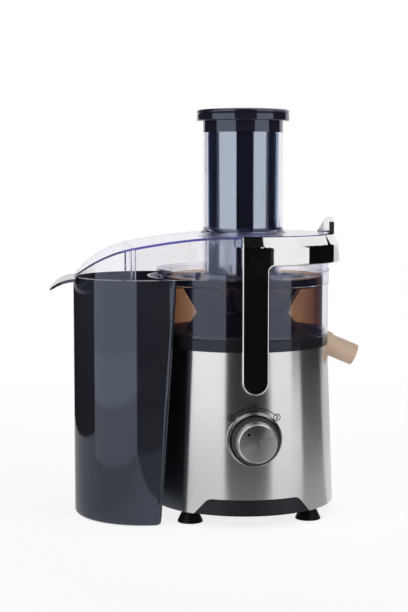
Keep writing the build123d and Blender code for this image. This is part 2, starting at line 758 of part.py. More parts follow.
def pusher_cap():
    """Domed cap with a groove round its side, plugged into the pusher."""
    seat = Z_CHUTE + MOVING_GAP + PUSHER_COLLAR
    plug = PUSHER_TOP_RADIUS - PUSHER_WALL - SEAT_FIT
    groove = seat + CAP_SIDE * 2 / 3
    rim = seat + CAP_SIDE
    sphere = (CAP_RADIUS**2 + CAP_DOME**2) / (2 * CAP_DOME)
    half = CAP_RADIUS / 2
    crown = rim + CAP_DOME - (sphere - math.sqrt(sphere**2 - half**2))
    outline = (
        Polyline(
            (0, rim + CAP_DOME),
            (0, seat - CAP_PLUG),
            (plug - CAP_GROOVE, seat - CAP_PLUG),
            (plug, seat),
            (CAP_RADIUS, seat),
            (CAP_RADIUS, groove - CAP_GROOVE),
            (CAP_RADIUS - CAP_GROOVE, groove),
            (CAP_RADIUS, groove + CAP_GROOVE),
            (CAP_RADIUS, rim),
        )
        + ThreePointArc((CAP_RADIUS, rim), (half, crown), (0, rim + CAP_DOME))
    )
    cap = revolve(Plane.XZ * make_face(outline), Axis.Z)
    brim = cap.edges().filter_by_position(Axis.Z, rim - RUNNING_FIT, rim + RUNNING_FIT)
    cap = fillet(brim, CAP_BRIM_ROUND)
    foot = cap.edges().filter_by_position(Axis.Z, seat - RUNNING_FIT, seat + RUNNING_FIT)
    return fillet(foot.sort_by(SortBy.LENGTH)[-1], CAP_FOOT_ROUND)


def container_form(inset, low):
    """The container's round body, hollowed towards the machine, drawn in by inset."""
    tall = Z_RIM - low
    body = Pos(-CONTAINER_OFFSET, 0, low) * Cylinder(CONTAINER_RADIUS - inset, tall, align=UP)
    foot = CONTAINER_HOLLOW + CONTAINER_LEAN * tall / Z_RIM + inset
    form = body - Pos(0, 0, low) * Cone(foot, CONTAINER_HOLLOW + inset, tall, align=UP)
    corners = form.edges().filter_by(lambda edge: abs(edge.length - tall) < CONTAINER_LEAN)
    return fillet(corners, CONTAINER_CORNER - inset)


def pulp_container():
    """Standing pulp bin that hugs the machine, with a drooping lip to pull it by."""
    outside = container_form(0, 0)
    outside = fillet(outside.faces().sort_by(Axis.Z)[0].edges(), CONTAINER_FOOT_ROUND)
    wall_x = -(CONTAINER_OFFSET + CONTAINER_RADIUS) + CONTAINER_WALL
    tip_x = wall_x - LIP_REACH
    bend_x = wall_x - LIP_REACH * 0.6
    bend_z = Z_RIM - LIP_DROP * 0.3
    upper = ThreePointArc((wall_x, Z_RIM), (bend_x, bend_z), (tip_x, Z_RIM - LIP_DROP))
    lower = ThreePointArc(
        (tip_x + LIP_THICKNESS / 3, Z_RIM - LIP_DROP - LIP_THICKNESS / 2),
        (bend_x, bend_z - LIP_THICKNESS),
        (wall_x, Z_RIM - LIP_THICKNESS),
    )
    outline = upper + Line(upper @ 1, lower @ 0) + lower + Line(lower @ 1, upper @ 0)
    plan = Pos(wall_x, 0) * Ellipse(LIP_REACH, LIP_WIDTH / 2)
    outside += side_view(make_face(outline)) & extrude(plan, Z_RIM)
    return outside - container_form(CONTAINER_WALL, CONTAINER_WALL)


def locking_arm():
    """Chromed bail: two legs, a half ring round the lid, and an upright thumb fin."""
    low = PIVOT_HEIGHT - LEG_WIDTH / 2
    section = make_face(
        Polyline(
            (ARM_INNER, low),
            (ARM_OUTER, low),
            (ARM_OUTER, Z_BEVEL),
            (ARM_INNER + ARM_LAND, Z_ARM),
            (ARM_INNER, Z_ARM),
            close=True,
        )
    )
    knee = section.vertices().sort_by_distance((ARM_OUTER, Z_BEVEL, 0))[0]
    band = revolve(Plane.XZ * fillet(knee, ARM_KNEE), Axis.Z)
    left = -LEG_WIDTH / 2
    leg = Pos(0, (PIVOT_HEIGHT + Z_ARM) / 2) * Rectangle(LEG_WIDTH, Z_ARM - PIVOT_HEIGHT)
    leg += Pos(0, PIVOT_HEIGHT) * Circle(LEG_WIDTH / 2)
    reach = ARM_OUTER - left
    hoop = Pos(left + reach / 2, (Z_BAND + Z_ARM) / 2) * Rectangle(reach, Z_ARM - Z_BAND)
    view = leg + hoop
    crook = view.vertices().sort_by_distance((-left, Z_BAND, 0))[0]
    view = fillet(crook, LEG_FILLET)
    arm = (band & side_view(view)).solid()

    def on_outside(edge):
        middle = edge @ 0.5
        start = edge @ 0
        near = min(math.hypot(middle.X, middle.Y), math.hypot(start.X, start.Y))
        return near > ARM_OUTER - RUNNING_FIT and middle.Z < Z_BEVEL - ARM_KNEE

    arm = fillet(arm.edges().filter_by(on_outside), ARM_ROUND)
    fin = ring(ARM_INNER + ARM_LAND / 2 + FIN_THICKNESS, ARM_INNER + ARM_LAND / 2, Z_BEVEL, Z_FIN)
    tab = make_face(
        Polyline(
            (FIN_SETBACK, Z_BEVEL),
            (FIN_SETBACK, Z_FIN),
            (FIN_SETBACK + FIN_CREST, Z_FIN),
            (FIN_SETBACK + FIN_LENGTH, Z_BEVEL + ARM_BEVEL_HEIGHT / 2),
            (FIN_SETBACK + FIN_LENGTH, Z_BEVEL),
            close=True,
        )
    )
    tab = fillet(tab.vertices().sort_by(Axis.Y)[-2:], FIN_CORNER)
    arm += fin & extrude(Plane.YZ * tab, FAR)
    for pivot in PIVOTS:
        arm -= pivot * Cylinder(PIN_RADIUS + RUNNING_FIT, ARM_OUTER - PIN_COVER, align=UP)
    return arm


def pin_start():
    """How far from the drive axis the pivot pins begin, just inside the deck's blocks."""
    return BLOCK_FACE - LUG_BLOCK - 2 * MOVING_GAP


def arm_pivot_pins():
    """Steel pins that carry the arm's legs, the rear one long enough for the cam."""
    end = ARM_OUTER - PIN_COVER - RUNNING_FIT
    front = disc(PIN_RADIUS, pin_start(), end)
    rear = disc(PIN_RADIUS, pin_start() - CAM_WIDTH, end)
    return group([FRONT_PIVOT * front, REAR_PIVOT * rear])


def pivot_bushes():
    """Flanged bushes through the shell, seated in the deck's blocks."""
    inner = BLOCK_FACE - LUG_BLOCK
    face = math.sqrt(ARM_INNER**2 - BUSH_FLANGE_RADIUS**2) - MOVING_GAP
    back = shell_radius(PIVOT_HEIGHT - BUSH_FLANGE_RADIUS) + SEAT_FIT
    bush = turned(
        (PIN_RADIUS + RUNNING_FIT, inner),
        (BUSH_RADIUS, inner),
        (BUSH_RADIUS, back),
        (BUSH_FLANGE_RADIUS, back),
        (BUSH_FLANGE_RADIUS, face),
        (PIN_RADIUS + RUNNING_FIT, face),
    )
    return group([pivot * bush for pivot in PIVOTS])


def interlock_cam():
    """Cam on the rear pin whose radius falls evenly as the arm swings open."""

    def rim(turn):
        radius = CAM_RADIUS - CAM_FALL * turn / ARM_TRAVEL
        angle = math.radians(90 + turn)
        return radius * math.cos(angle), radius * math.sin(angle)

    fall = ThreePointArc(rim(0), rim(ARM_TRAVEL / 2), rim(ARM_TRAVEL))
    close = Polyline(rim(ARM_TRAVEL), (0, -PIN_RADIUS * 1.6), (PIN_RADIUS * 1.6, 0), rim(0))
    plate = side_view(make_face(fall + close), CAM_WIDTH / 2)
    plate = Pos(0, pin_start() - CAM_WIDTH / 2, PIVOT_HEIGHT) * plate
    return plate - REAR_PIVOT * Cylinder(PIN_RADIUS + RUNNING_FIT, FAR, align=UP)


def cam_top():
    """Height of the cam's working edge with the arm shut."""
    return PIVOT_HEIGHT + CAM_RADIUS


def switch_plunger():
    """Sprung pin of the interlock switch that rides on the cam."""
    low = cam_top() + PLUNGER_GAP
    return Pos(0, pin_start() - CAM_WIDTH / 2, 0) * disc(PLUNGER_RADIUS, low, low + PLUNGER_LENGTH)


def interlock_switch():
    """Safety switch hung from the deck above the cam."""
    low = cam_top() + PLUNGER_GAP + CAM_FALL + MOVING_GAP
    body = Box(SWITCH_BOX[0], SWITCH_BOX[1], Z_COLLAR - low, align=UP)
    place = Pos(0, pin_start() - CAM_WIDTH / 2, low)
    return place * body - Pos(0, pin_start() - CAM_WIDTH / 2, 0) * disc(
        PLUNGER_RADIUS + RUNNING_FIT, 0, cam_top() + PLUNGER_GAP + PLUNGER_LENGTH + MOVING_GAP
    )


def dial_bezel():
    """Trim ring round the dial, scribed to the shell."""
    front = DIAL_FACE + BEZEL_DEPTH
    body = turned(
        (BEZEL_BORE, 0),
        (BEZEL_RADIUS, 0),
        (BEZEL_RADIUS, front - BEZEL_DEPTH + BEZEL_EDGE / 2),
        (BEZEL_RADIUS - BEZEL_EDGE, front),
        (BEZEL_BORE, front - BEZEL_EDGE / 2),
    )
    bottom = SHELL_BOTTOM_RADIUS + RUNNING_FIT
    top = SHELL_TOP_RADIUS + RUNNING_FIT
    cone = Pos(0, 0, Z_SHELL) * Cone(bottom, top, SHELL_HEIGHT, align=UP)
    return FRONT * body - cone


def knob_start():
    """How far from the drive axis the knob begins, clear of the shell and its nut."""
    return DIAL_FACE + SWITCH_NUT_THICKNESS + 2 * MOVING_GAP


def knob_skirt():
    """Fluted dark knob body with a web and a hub on the spindle."""
    back = knob_start()
    front = back + KNOB_DEPTH
    web = front - 2 * KNOB_WALL
    bore = SPINDLE_RADIUS + RUNNING_FIT
    hub = SPINDLE_RADIUS + 2 * KNOB_WALL
    skirt = turned(
        (KNOB_RADIUS - KNOB_WALL, back),
        (KNOB_RADIUS, back),
        (KNOB_FRONT_RADIUS, front),
        (bore, front),
        (bore, back + KNOB_WALL),
        (hub, back + KNOB_WALL),
        (hub, web),
        (KNOB_FRONT_RADIUS - KNOB_WALL, web),
    )
    flute = Rot(0, 0, 45) * Box(2 * FLUTE_DEPTH, 2 * FLUTE_DEPTH, KNOB_DEPTH, align=UP)
    lean = math.degrees(math.atan2(KNOB_RADIUS - KNOB_FRONT_RADIUS, KNOB_DEPTH))
    places = around(KNOB_FLUTES, KNOB_RADIUS)
    skirt -= [Pos(0, 0, back) * place * Rot(0, -lean, 0) * flute for place in places]
    return FRONT * skirt


def knob_cap():
    """Spun metal cap with a rolled edge, a slightly domed face and a pointer dimple."""
    back = knob_start() + KNOB_DEPTH
    crown = back + KNOB_CAP_DEPTH
    rim = crown - KNOB_DOME
    edge = KNOB_CAP_FACE_RADIUS - KNOB_CAP_EDGE
    sphere = (edge**2 + KNOB_DOME**2) / (2 * KNOB_DOME)
    half = edge / 2
    arc_height = crown - (sphere - math.sqrt(sphere**2 - half**2))
    outline = (
        Polyline(
            (0, crown),
            (0, back),
            (KNOB_CAP_RADIUS, back),
            (KNOB_CAP_FACE_RADIUS, rim - KNOB_CAP_EDGE),
            (edge, rim),
        )
        + ThreePointArc((edge, rim), (half, arc_height), (0, crown))
    )
    face = revolve(Plane.XZ * make_face(outline), Axis.Z)
    dot = Rot(0, 0, 135) * Pos(DOT_CIRCLE, 0, 0) * disc(DOT_RADIUS, rim, crown)
    return FRONT * (face - dot)


def switch_face():
    """Front of the rotary switch, against the inside of the shell."""
    half = ROTARY_SWITCH[0] / 2
    return math.sqrt((DIAL_FACE - SHEET - SEAT_FIT) ** 2 - half**2) - MOVING_GAP


def knob_spindle():
    """Switch spindle that carries the knob."""
    end = knob_start() + KNOB_DEPTH - RUNNING_FIT
    start = switch_face() - ROTARY_SWITCH[2] / 2
    return FRONT * disc(SPINDLE_RADIUS, start, end)


def rotary_switch():
    """Three-position switch with a threaded bush through the shell."""
    face = switch_face()
    wide, high, deep = ROTARY_SWITCH
    body = Pos(0, 0, face - deep) * Box(wide, high, deep, align=UP)
    body += disc(SWITCH_BUSH_RADIUS, face - deep / 2, DIAL_FACE + SWITCH_NUT_THICKNESS)
    start = face - deep / 2 - RUNNING_FIT
    return FRONT * (body - disc(SPINDLE_RADIUS + RUNNING_FIT, start, FAR))


def switch_nut():
    """Hexagon nut that clamps the switch to the shell."""
    nut = extrude(RegularPolygon(SWITCH_NUT_RADIUS, 6), SWITCH_NUT_THICKNESS)
    hole = Cylinder(SWITCH_BUSH_RADIUS + RUNNING_FIT, FAR)
    return FRONT * Pos(0, 0, DIAL_FACE + 2 * SEAT_FIT) * (nut - hole)


def motor_shaft():
    """Armature shaft from the fan up to the drive coupling."""
    return disc(SHAFT_RADIUS, Z_FAN - 2 * MOVING_GAP, Z_WELL + COUPLING_HEIGHT)


def shaft_bore(low, high):
    """Room for the shaft in a piece that turns with it or round it."""
    return disc(SHAFT_RADIUS + RUNNING_FIT, low, high)


def cooling_fan():
    """Radial fan on the lower end of the shaft."""
    hub = 3 * SHAFT_RADIUS
    fan = turned(
        (0, Z_FAN),
        (FAN_RADIUS, Z_FAN),
        (FAN_RADIUS, Z_FAN + BASE_WALL),
        (hub, Z_FAN + BASE_WALL),
        (hub, Z_FAN + FAN_BLADE_HEIGHT + BASE_WALL),
        (0, Z_FAN + FAN_BLADE_HEIGHT + BASE_WALL),
    )
    inner = 2 * SHAFT_RADIUS
    outer = FAN_RADIUS - BASE_WALL
    blade = Box(outer - inner, BASE_WALL / 2, FAN_BLADE_HEIGHT, align=UP)
    for place in around(FAN_BLADES, (inner + outer) / 2):
        fan += Pos(0, 0, Z_FAN + BASE_WALL / 2) * place * blade
    return fan - shaft_bore(0, FAR)


def rubber_dampers():
    """Rubber washers between the base plate's posts and the motor."""
    return group([place * disc(POST_RADIUS, Z_DAMPER, Z_BRACKET) for place in POSTS])


def bearing_bracket(low, reach, leg_low, leg_high):
    """Cross-shaped bracket with a bearing cup and four tube legs towards the stack."""
    bar = Box(2 * reach, BRACKET_ARM, BRACKET_THICKNESS, align=UP)
    bracket = Pos(0, 0, low) * (Rot(0, 0, 45) * bar + Rot(0, 0, -45) * bar)
    cup_low = low + BRACKET_THICKNESS - BEARING_CUP
    bracket += disc(BEARING_RADIUS + BEARING_CUP, low, cup_low + BEARING_WIDTH)
    bracket -= disc(BEARING_RADIUS + RUNNING_FIT, cup_low, FAR)
    bracket -= disc(2 * SHAFT_RADIUS, 0, FAR)
    for place in BOLTS:
        bracket += place * disc(2 * BOLT_RADIUS, leg_low, leg_high)
        bracket -= place * disc(BOLT_RADIUS + SEAT_FIT, 0, FAR)
    return bracket


def lower_bracket():
    """Bracket on the dampers that carries the lower bearing and the brushes."""
    return bearing_bracket(Z_BRACKET, POST_CIRCLE + POST_RADIUS, Z_BRACKET, Z_STACK)


def upper_bracket():
    """Bracket on top of the stack that carries the upper bearing."""
    reach = BRACKET_CIRCLE + BRACKET_ARM / 2
    return bearing_bracket(Z_TOP_BRACKET, reach, Z_STACK_TOP, Z_TOP_BRACKET + BRACKET_THICKNESS)


def shaft_bearing(low):
    """Ball bearing in its cup."""
    return ring(BEARING_RADIUS, SHAFT_RADIUS + RUNNING_FIT, low, low + BEARING_WIDTH)


def motor_bolts():
    """Long bolts that clamp both brackets to the stack."""
    top = Z_TOP_BRACKET + BRACKET_THICKNESS
    bolt = disc(BOLT_RADIUS, Z_BRACKET, top) + disc(BOLT_HEAD, top, top + BOLT_HEAD_HEIGHT)
    return group([place * bolt for place in BOLTS])


def stator_core():
    """Laminated yoke with two poles and their shoes."""
    shoe_in = ROTOR_RADIUS + AIR_GAP
    shoe_out = shoe_in + SHOE_THICKNESS
    core = ring(YOKE_RADIUS, YOKE_BORE, Z_STACK, Z_STACK_TOP)
    spread = FAR * math.tan(math.radians(SHOE_ANGLE / 2))
    wedge = make_face(Polyline((0, 0), (FAR, spread), (FAR, -spread), close=True))
    shoes = ring(shoe_out, shoe_in, Z_STACK, Z_STACK_TOP)
    neck = Box(YOKE_BORE - shoe_in, POLE_WIDTH, STACK_HEIGHT, align=UP)
    for turn in (0, 180):
        side = Rot(0, 0, turn)
        core += shoes & side * extrude(wedge, FAR)
        core += side * Pos((YOKE_BORE + shoe_in) / 2 + SHOE_THICKNESS / 4, 0, Z_STACK) * neck
    core -= disc(shoe_in, 0, FAR)
    for place in BOLTS:
        core -= place * disc(BOLT_RADIUS + SEAT_FIT, 0, FAR)
    return core


def field_coils():
    """Two wound coils, one round each pole."""
    start = ROTOR_RADIUS + AIR_GAP + SHOE_THICKNESS + SEAT_FIT
    opening = (POLE_WIDTH + 2 * SEAT_FIT, STACK_HEIGHT + 2 * SEAT_FIT)
    outer = (POLE_WIDTH + 2 * COIL_WIDTH, STACK_HEIGHT + 2 * COIL_WIDTH)
    loop = RectangleRounded(*outer, COIL_WIDTH - SEAT_FIT) - Rectangle(*opening)
    coil = extrude(Plane.YZ * loop, COIL_THICKNESS)
    middle = (Z_STACK + Z_STACK_TOP) / 2
    return group([Rot(0, 0, turn) * Pos(start, 0, middle) * coil for turn in (0, 180)])


def rotor_core():
    """Slotted armature stack on the shaft."""
    slot = Box(SLOT_DEPTH, SLOT_WIDTH, FAR, align=(Align.MAX, Align.CENTER, Align.CENTER))
    core = disc(ROTOR_RADIUS, Z_STACK, Z_STACK_TOP)
    core -= [place * slot for place in around(ROTOR_SLOTS, ROTOR_RADIUS + AIR_GAP)]
    return core - shaft_bore(0, FAR)


def rotor_windings():
    """Armature winding: a bar in each slot and an end turn at each end."""
    outer = ROTOR_RADIUS - 2 * AIR_GAP
    inner = ROTOR_RADIUS - SLOT_DEPTH + 2 * AIR_GAP
    low = Z_STACK - WINDING_OVERHANG
    high = Z_STACK_TOP + WINDING_OVERHANG
    bar = Box(outer - inner, SLOT_WIDTH - 2 * SEAT_FIT, high - low, align=UP)
    winding = ring(outer, 2 * SHAFT_RADIUS, low, Z_STACK - SEAT_FIT)
    winding += ring(outer, 2 * SHAFT_RADIUS, Z_STACK_TOP + SEAT_FIT, high)
    for place in around(ROTOR_SLOTS, (outer + inner) / 2):
        winding += Pos(0, 0, low) * place * bar
    return winding


def commutator():
    """Copper commutator with saw cuts between its bars."""
    body = disc(COMMUTATOR_RADIUS, Z_COMMUTATOR, Z_COMMUTATOR + COMMUTATOR_LENGTH)
    cut = Box(2 * MOVING_GAP, MOVING_GAP, FAR)
    body -= [place * cut for place in around(COMMUTATOR_BARS, COMMUTATOR_RADIUS)]
    return body - shaft_bore(0, FAR)


def brush_places():
    """Two brush positions on opposite bars of the lower bracket."""
    middle = Z_COMMUTATOR + COMMUTATOR_LENGTH / 2
    return [Rot(0, 0, turn) * Pos(0, 0, middle) for turn in (45, 225)]


def carbon_brushes():
    """Carbon brushes that bear on the commutator."""
    start = COMMUTATOR_RADIUS + RUNNING_FIT * 2
    brush = Pos(start + BRUSH_LENGTH / 2, 0, 0) * Box(BRUSH_LENGTH, *BRUSH_SECTION)
    return group([place * brush for place in brush_places()])


def brush_holders():
    """Insulated holders that stand on the lower bracket."""
    wide = BRUSH_SECTION[0] + 2 * (HOLDER_WALL + RUNNING_FIT)
    top = BRUSH_SECTION[1] / 2 + HOLDER_WALL
    foot = Z_COMMUTATOR + COMMUTATOR_LENGTH / 2 - Z_BRACKET - BRACKET_THICKNESS
    start = BEARING_RADIUS + BEARING_CUP + 2 * MOVING_GAP
    holder = Pos(start + HOLDER_LENGTH / 2, 0, -foot) * Box(HOLDER_LENGTH, wide, top + foot, align=UP)
    holder -= Box(
        FAR, BRUSH_SECTION[0] + 2 * RUNNING_FIT, BRUSH_SECTION[1] + 2 * RUNNING_FIT
    )
    return group([place * holder for place in brush_places()])


def shaft_seal():
    """Lip seal in the deck's well round the shaft."""
    low = Z_WELL - DECK_WALL
    return ring(SEAL_RADIUS, SHAFT_RADIUS + RUNNING_FIT, low, low + SEAL_LIP)


def lobed_drive(clear):
    """Six-lobed drive form of the coupling, grown by clear."""
    form = Circle(COUPLING_RADIUS + clear)
    for i in range(COUPLING_LOBES):
        turn = Rot(0, 0, 360 / COUPLING_LOBES * i)
        form += turn * Pos(COUPLING_RADIUS, 0) * Circle(COUPLING_LOBE + clear)
    return form


def drive_coupling():
    """Lobed coupling pressed on the shaft, in the deck's well."""
    low = Z_WELL + MOVING_GAP
    body = extrude(Pos(0, 0, low) * lobed_drive(0), COUPLING_HEIGHT - MOVING_GAP)
    return body - shaft_bore(0, FAR)


def basket_radius(z):
    """Outer radius of the filter cone at a height."""
    share = (z - Z_GRATER) / BASKET_HEIGHT
    return BASKET_FOOT_RADIUS + share * (BASKET_TOP_RADIUS - BASKET_FOOT_RADIUS)


def basket_frame():
    """Ribbed basket frame: hub over the coupling, floor, ribs, and a flange with a turned-down lip."""
    high = Z_GRATER + BASKET_HEIGHT
    rim = high - BASKET_RIM
    hub = COUPLING_RADIUS + COUPLING_LOBE + HUB_WALL
    foot = BASKET_FOOT_RADIUS + RUNNING_FIT
    top = BASKET_TOP_RADIUS + RUNNING_FIT
    rib_out = basket_radius(rim) + RUNNING_FIT + RIB_DEPTH
    lip_in = BASKET_RIM_RADIUS - BASKET_RIM
    frame = turned(
        (0, Z_WELL + 2 * MOVING_GAP),
        (hub, Z_WELL + 2 * MOVING_GAP),
        (hub, Z_BASKET),
        (foot + RIB_DEPTH, Z_BASKET),
        (foot + RIB_DEPTH, Z_GRATER),
        (rib_out, rim),
        (lip_in, rim),
        (lip_in, high - BASKET_LIP),
        (BASKET_RIM_RADIUS, high - BASKET_LIP),
        (BASKET_RIM_RADIUS, high),
        (top, high),
        (foot, Z_GRATER),
        (0, Z_GRATER),
    )
    windows = ring(rib_out + RIB_DEPTH, hub, Z_GRATER, rim)
    rib = Box(FAR, RIB_WIDTH, FAR, align=(Align.MIN, Align.CENTER, Align.MIN))
    windows -= [place * rib for place in around(BASKET_RIBS, 0)]
    frame -= windows
    return frame - extrude(lobed_drive(SEAT_FIT), Z_WELL + COUPLING_HEIGHT + SEAT_FIT)


def filter_mesh():
    """Fine sieve cone inside the ribs."""
    high = Z_GRATER + BASKET_HEIGHT
    return turned(
        (BASKET_FOOT_RADIUS, Z_GRATER),
        (basket_radius(high), high),
        (basket_radius(high) - MESH, high),
        (BASKET_FOOT_RADIUS - MESH, Z_GRATER),
    )


def grater_disc():
    """Grater with curved rows of leaning teeth round a plain eye."""
    plate = disc(BASKET_FOOT_RADIUS - MESH - SEAT_FIT, Z_GRATER, Z_GRATER + GRATER_THICKNESS)
    half = TOOTH_LENGTH / 2
    side = make_face(Polyline((-half, 0), (half, 0), (half, TOOTH_HEIGHT), close=True))
    tooth = extrude(Plane.XZ * side, TOOTH_WIDTH / 2, both=True)
    twist = 360 / GRATER_ROWS / TEETH_PER_ROW
    teeth = []
    for row in range(GRATER_ROWS):
        for step in range(TEETH_PER_ROW):
            turn = Rot(0, 0, 360 / GRATER_ROWS * row + twist * step)
            reach = GRATER_EYE + TOOTH_PITCH * (step + 0.5)
            place = turn * Pos(reach, 0, Z_GRATER + GRATER_THICKNESS) * Rot(0, 0, 90)
            teeth.append(place * tooth)
    return plate + teeth


PIECES = {
    "steel_shell": steel_shell(),
    "base_plate": base_plate(),
    "suction_feet": suction_feet(),
    "motor_deck": motor_deck(),
    "deck_turret": deck_turret(),
    "deck_columns": deck_columns(),
    "pivot_blocks": pivot_blocks(),
    "base_screws": base_screws(),
    "cord_gland": cord_gland(),
    "control_board": control_board(),
    "juice_bowl": juice_bowl(),
    "bowl_liner": bowl_liner(),
    "bowl_floor": bowl_floor(),
    "bowl_drain": bowl_drain(),
    "juice_spout": juice_spout(),
    "lid_cover": lid_cover(),
    "feed_chute": feed_chute(),
    "pusher_body": pusher_body(),
    "pusher_cap": pusher_cap(),
    "pulp_container": pulp_container(),
    "locking_arm": locking_arm(),
    "arm_pivot_pins": arm_pivot_pins(),
    "pivot_bushes": pivot_bushes(),
    "interlock_cam": interlock_cam(),
    "switch_plunger": switch_plunger(),
    "interlock_switch": interlock_switch(),
    "dial_bezel": dial_bezel(),
    "knob_skirt": knob_skirt(),
    "knob_cap": knob_cap(),
    "knob_spindle": knob_spindle(),
    "rotary_switch": rotary_switch(),
    "switch_nut": switch_nut(),
    "motor_shaft": motor_shaft(),
    "cooling_fan": cooling_fan(),
    "rubber_dampers": rubber_dampers(),
    "lower_bracket": lower_bracket(),
    "upper_bracket": upper_bracket(),
    "lower_bearing": shaft_bearing(Z_LOWER_BEARING),
    "upper_bearing": shaft_bearing(Z_UPPER_BEARING),
    "motor_bolts": motor_bolts(),
    "stator_core": stator_core(),
    "field_coils": field_coils(),
    "rotor_core": rotor_core(),
    "rotor_windings": rotor_windings(),
    "commutator": commutator(),
    "carbon_brushes": carbon_brushes(),
    "brush_holders": brush_holders(),
    "shaft_seal": shaft_seal(),
    "drive_coupling": drive_coupling(),
    "basket_frame": basket_frame(),
    "filter_mesh": filter_mesh(),
    "grater_disc": grater_disc(),
}

os.makedirs("parts", exist_ok=True)
for name, piece in PIECES.items():
    export_step(piece, os.path.join("parts", name + ".step"))
    print(name, round(piece.volume), "mm3")
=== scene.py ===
import json
import math

import bpy
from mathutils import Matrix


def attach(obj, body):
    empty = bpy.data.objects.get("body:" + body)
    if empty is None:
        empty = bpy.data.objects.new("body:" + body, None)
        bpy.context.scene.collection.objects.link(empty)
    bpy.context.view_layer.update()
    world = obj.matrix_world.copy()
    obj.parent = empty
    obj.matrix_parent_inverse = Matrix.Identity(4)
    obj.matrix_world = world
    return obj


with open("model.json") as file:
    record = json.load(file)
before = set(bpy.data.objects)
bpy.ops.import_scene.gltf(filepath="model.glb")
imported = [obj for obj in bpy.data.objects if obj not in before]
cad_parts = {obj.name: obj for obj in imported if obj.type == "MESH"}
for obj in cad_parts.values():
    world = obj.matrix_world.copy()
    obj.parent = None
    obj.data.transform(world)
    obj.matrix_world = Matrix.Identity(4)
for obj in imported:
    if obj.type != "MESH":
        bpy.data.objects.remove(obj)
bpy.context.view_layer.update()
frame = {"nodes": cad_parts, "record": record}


# Suction feet: four flared rubber cups that grip the counter.
# Moulded in soft black rubber, each pushed by its stem into the base plate.
# Satin, with a fine grain and a faint grey bloom.
def add(tree, kind, sockets=None, **choices):
    """Adds a shader node, makes its choices, and fills its sockets by a value or a link."""
    node = tree.nodes.new(kind)
    for choice, value in choices.items():
        setattr(node, choice, value)
    for socket, value in (sockets or {}).items():
        if isinstance(value, bpy.types.NodeSocket):
            tree.links.new(value, node.inputs[socket])
        else:
            node.inputs[socket].default_value = value
    return node


def start_group(name, inputs, outputs):
    """An empty shader group with named number inputs and outputs."""
    tree = bpy.data.node_groups.new(name, "ShaderNodeTree")
    for label, value in inputs.items():
        socket = tree.interface.new_socket(label, in_out="INPUT", socket_type="NodeSocketFloat")
        socket.default_value = value
    for label in outputs:
        tree.interface.new_socket(label, in_out="OUTPUT", socket_type="NodeSocketFloat")
    return tree, add(tree, "NodeGroupInput"), add(tree, "NodeGroupOutput")


def math_node(tree, operation, first, second=0.0):
    """One sum on two numbers or links, as its output."""
    return add(tree, "ShaderNodeMath", {0: first, 1: second}, operation=operation).outputs[0]


def object_place(tree):
    """The place of a point in the object's own frame."""
    return add(tree, "ShaderNodeTexCoord").outputs["Object"]


def noise(tree, vector, scale, detail=2.0):
    """A cloud of values from 0 to 1."""
    return add(
        tree, "ShaderNodeTexNoise", {"Vector": vector, "Scale": scale, "Detail": detail}
    ).outputs["Fac"]


def blotches(tree, scale, detail=2.0):
    """A cloud of values that stays fixed to the piece."""
    return noise(tree, object_place(tree), scale, detail)


def spread(tree, value, low, high, start=0.3, end=0.7):
    """Stretches a value from start to end over the range from low to high."""
    return add(
        tree,
        "ShaderNodeMapRange",
        {"Value": value, "From Min": start, "From Max": end, "To Min": low, "To Max": high},
    ).outputs["Result"]


def tint(tree, value, low, high):
    """A colour between low and high, chosen by a value."""
    ramp = add(tree, "ShaderNodeValToRGB", {"Fac": value})
    ramp.color_ramp.elements[0].color = (*low, 1.0)
    ramp.color_ramp.elements[1].color = (*high, 1.0)
    return ramp.outputs["Color"]


skin, skin_in, skin_out = start_group(
    "moulded_skin", {"Grain": 1200.0, "Gloss": 0.3, "Change": 0.1}, ("Height", "Roughness")
)
fine = noise(skin, object_place(skin), skin_in.outputs["Grain"], 3.0)
drift = math_node(skin, "SUBTRACT", blotches(skin, 38.0, 4.0), 0.5)
drift = math_node(skin, "MULTIPLY", drift, skin_in.outputs["Change"])
skin.links.new(fine, skin_out.inputs["Height"])
skin.links.new(
    math_node(skin, "ADD", drift, skin_in.outputs["Gloss"]), skin_out.inputs["Roughness"]
)


def finish(name, **sockets):
    """A material whose shader has these plain values on its own sockets."""
    material = bpy.data.materials.new(name)
    material.use_nodes = True
    tree = material.node_tree
    shader = tree.nodes["Principled BSDF"]
    for socket, value in sockets.items():
        shader.inputs[socket.replace("_", " ")].default_value = value
    return material, tree, shader


def colour_by(tree, shader, value, low, high):
    """Colours a piece between low and high by a value."""
    tree.links.new(tint(tree, value, low, high), shader.inputs["Base Color"])


def relief(tree, shader, height, depth):
    """Raises the surface a little by a height."""
    bump = add(tree, "ShaderNodeBump", {"Height": height, "Distance": depth})
    tree.links.new(bump.outputs["Normal"], shader.inputs["Normal"])


def mould(tree, shader, grain, gloss, change, depth):
    """Gives a moulded piece its grain and its small changes of gloss."""
    settings = {"Grain": grain, "Gloss": gloss, "Change": change}
    group = add(tree, "ShaderNodeGroup", settings, node_tree=skin)
    relief(tree, shader, group.outputs["Height"], depth)
    tree.links.new(group.outputs["Roughness"], shader.inputs["Roughness"])


def dress(material, *names):
    """Gives CAD nodes their finish."""
    for name in names:
        frame["nodes"][name].material_slots[0].material = material


rubber, tree, shader = finish("rubber", IOR=1.25)
mould(tree, shader, grain=2600.0, gloss=0.38, change=0.12, depth=0.00002)
bloom = spread(tree, blotches(tree, 60.0, 5.0), 0.0, 1.0)
colour_by(tree, shader, bloom, low=(0.003, 0.003, 0.004), high=(0.008, 0.008, 0.009))
dress(rubber, "suction_feet", "cord_gland", "rubber_dampers", "shaft_seal")


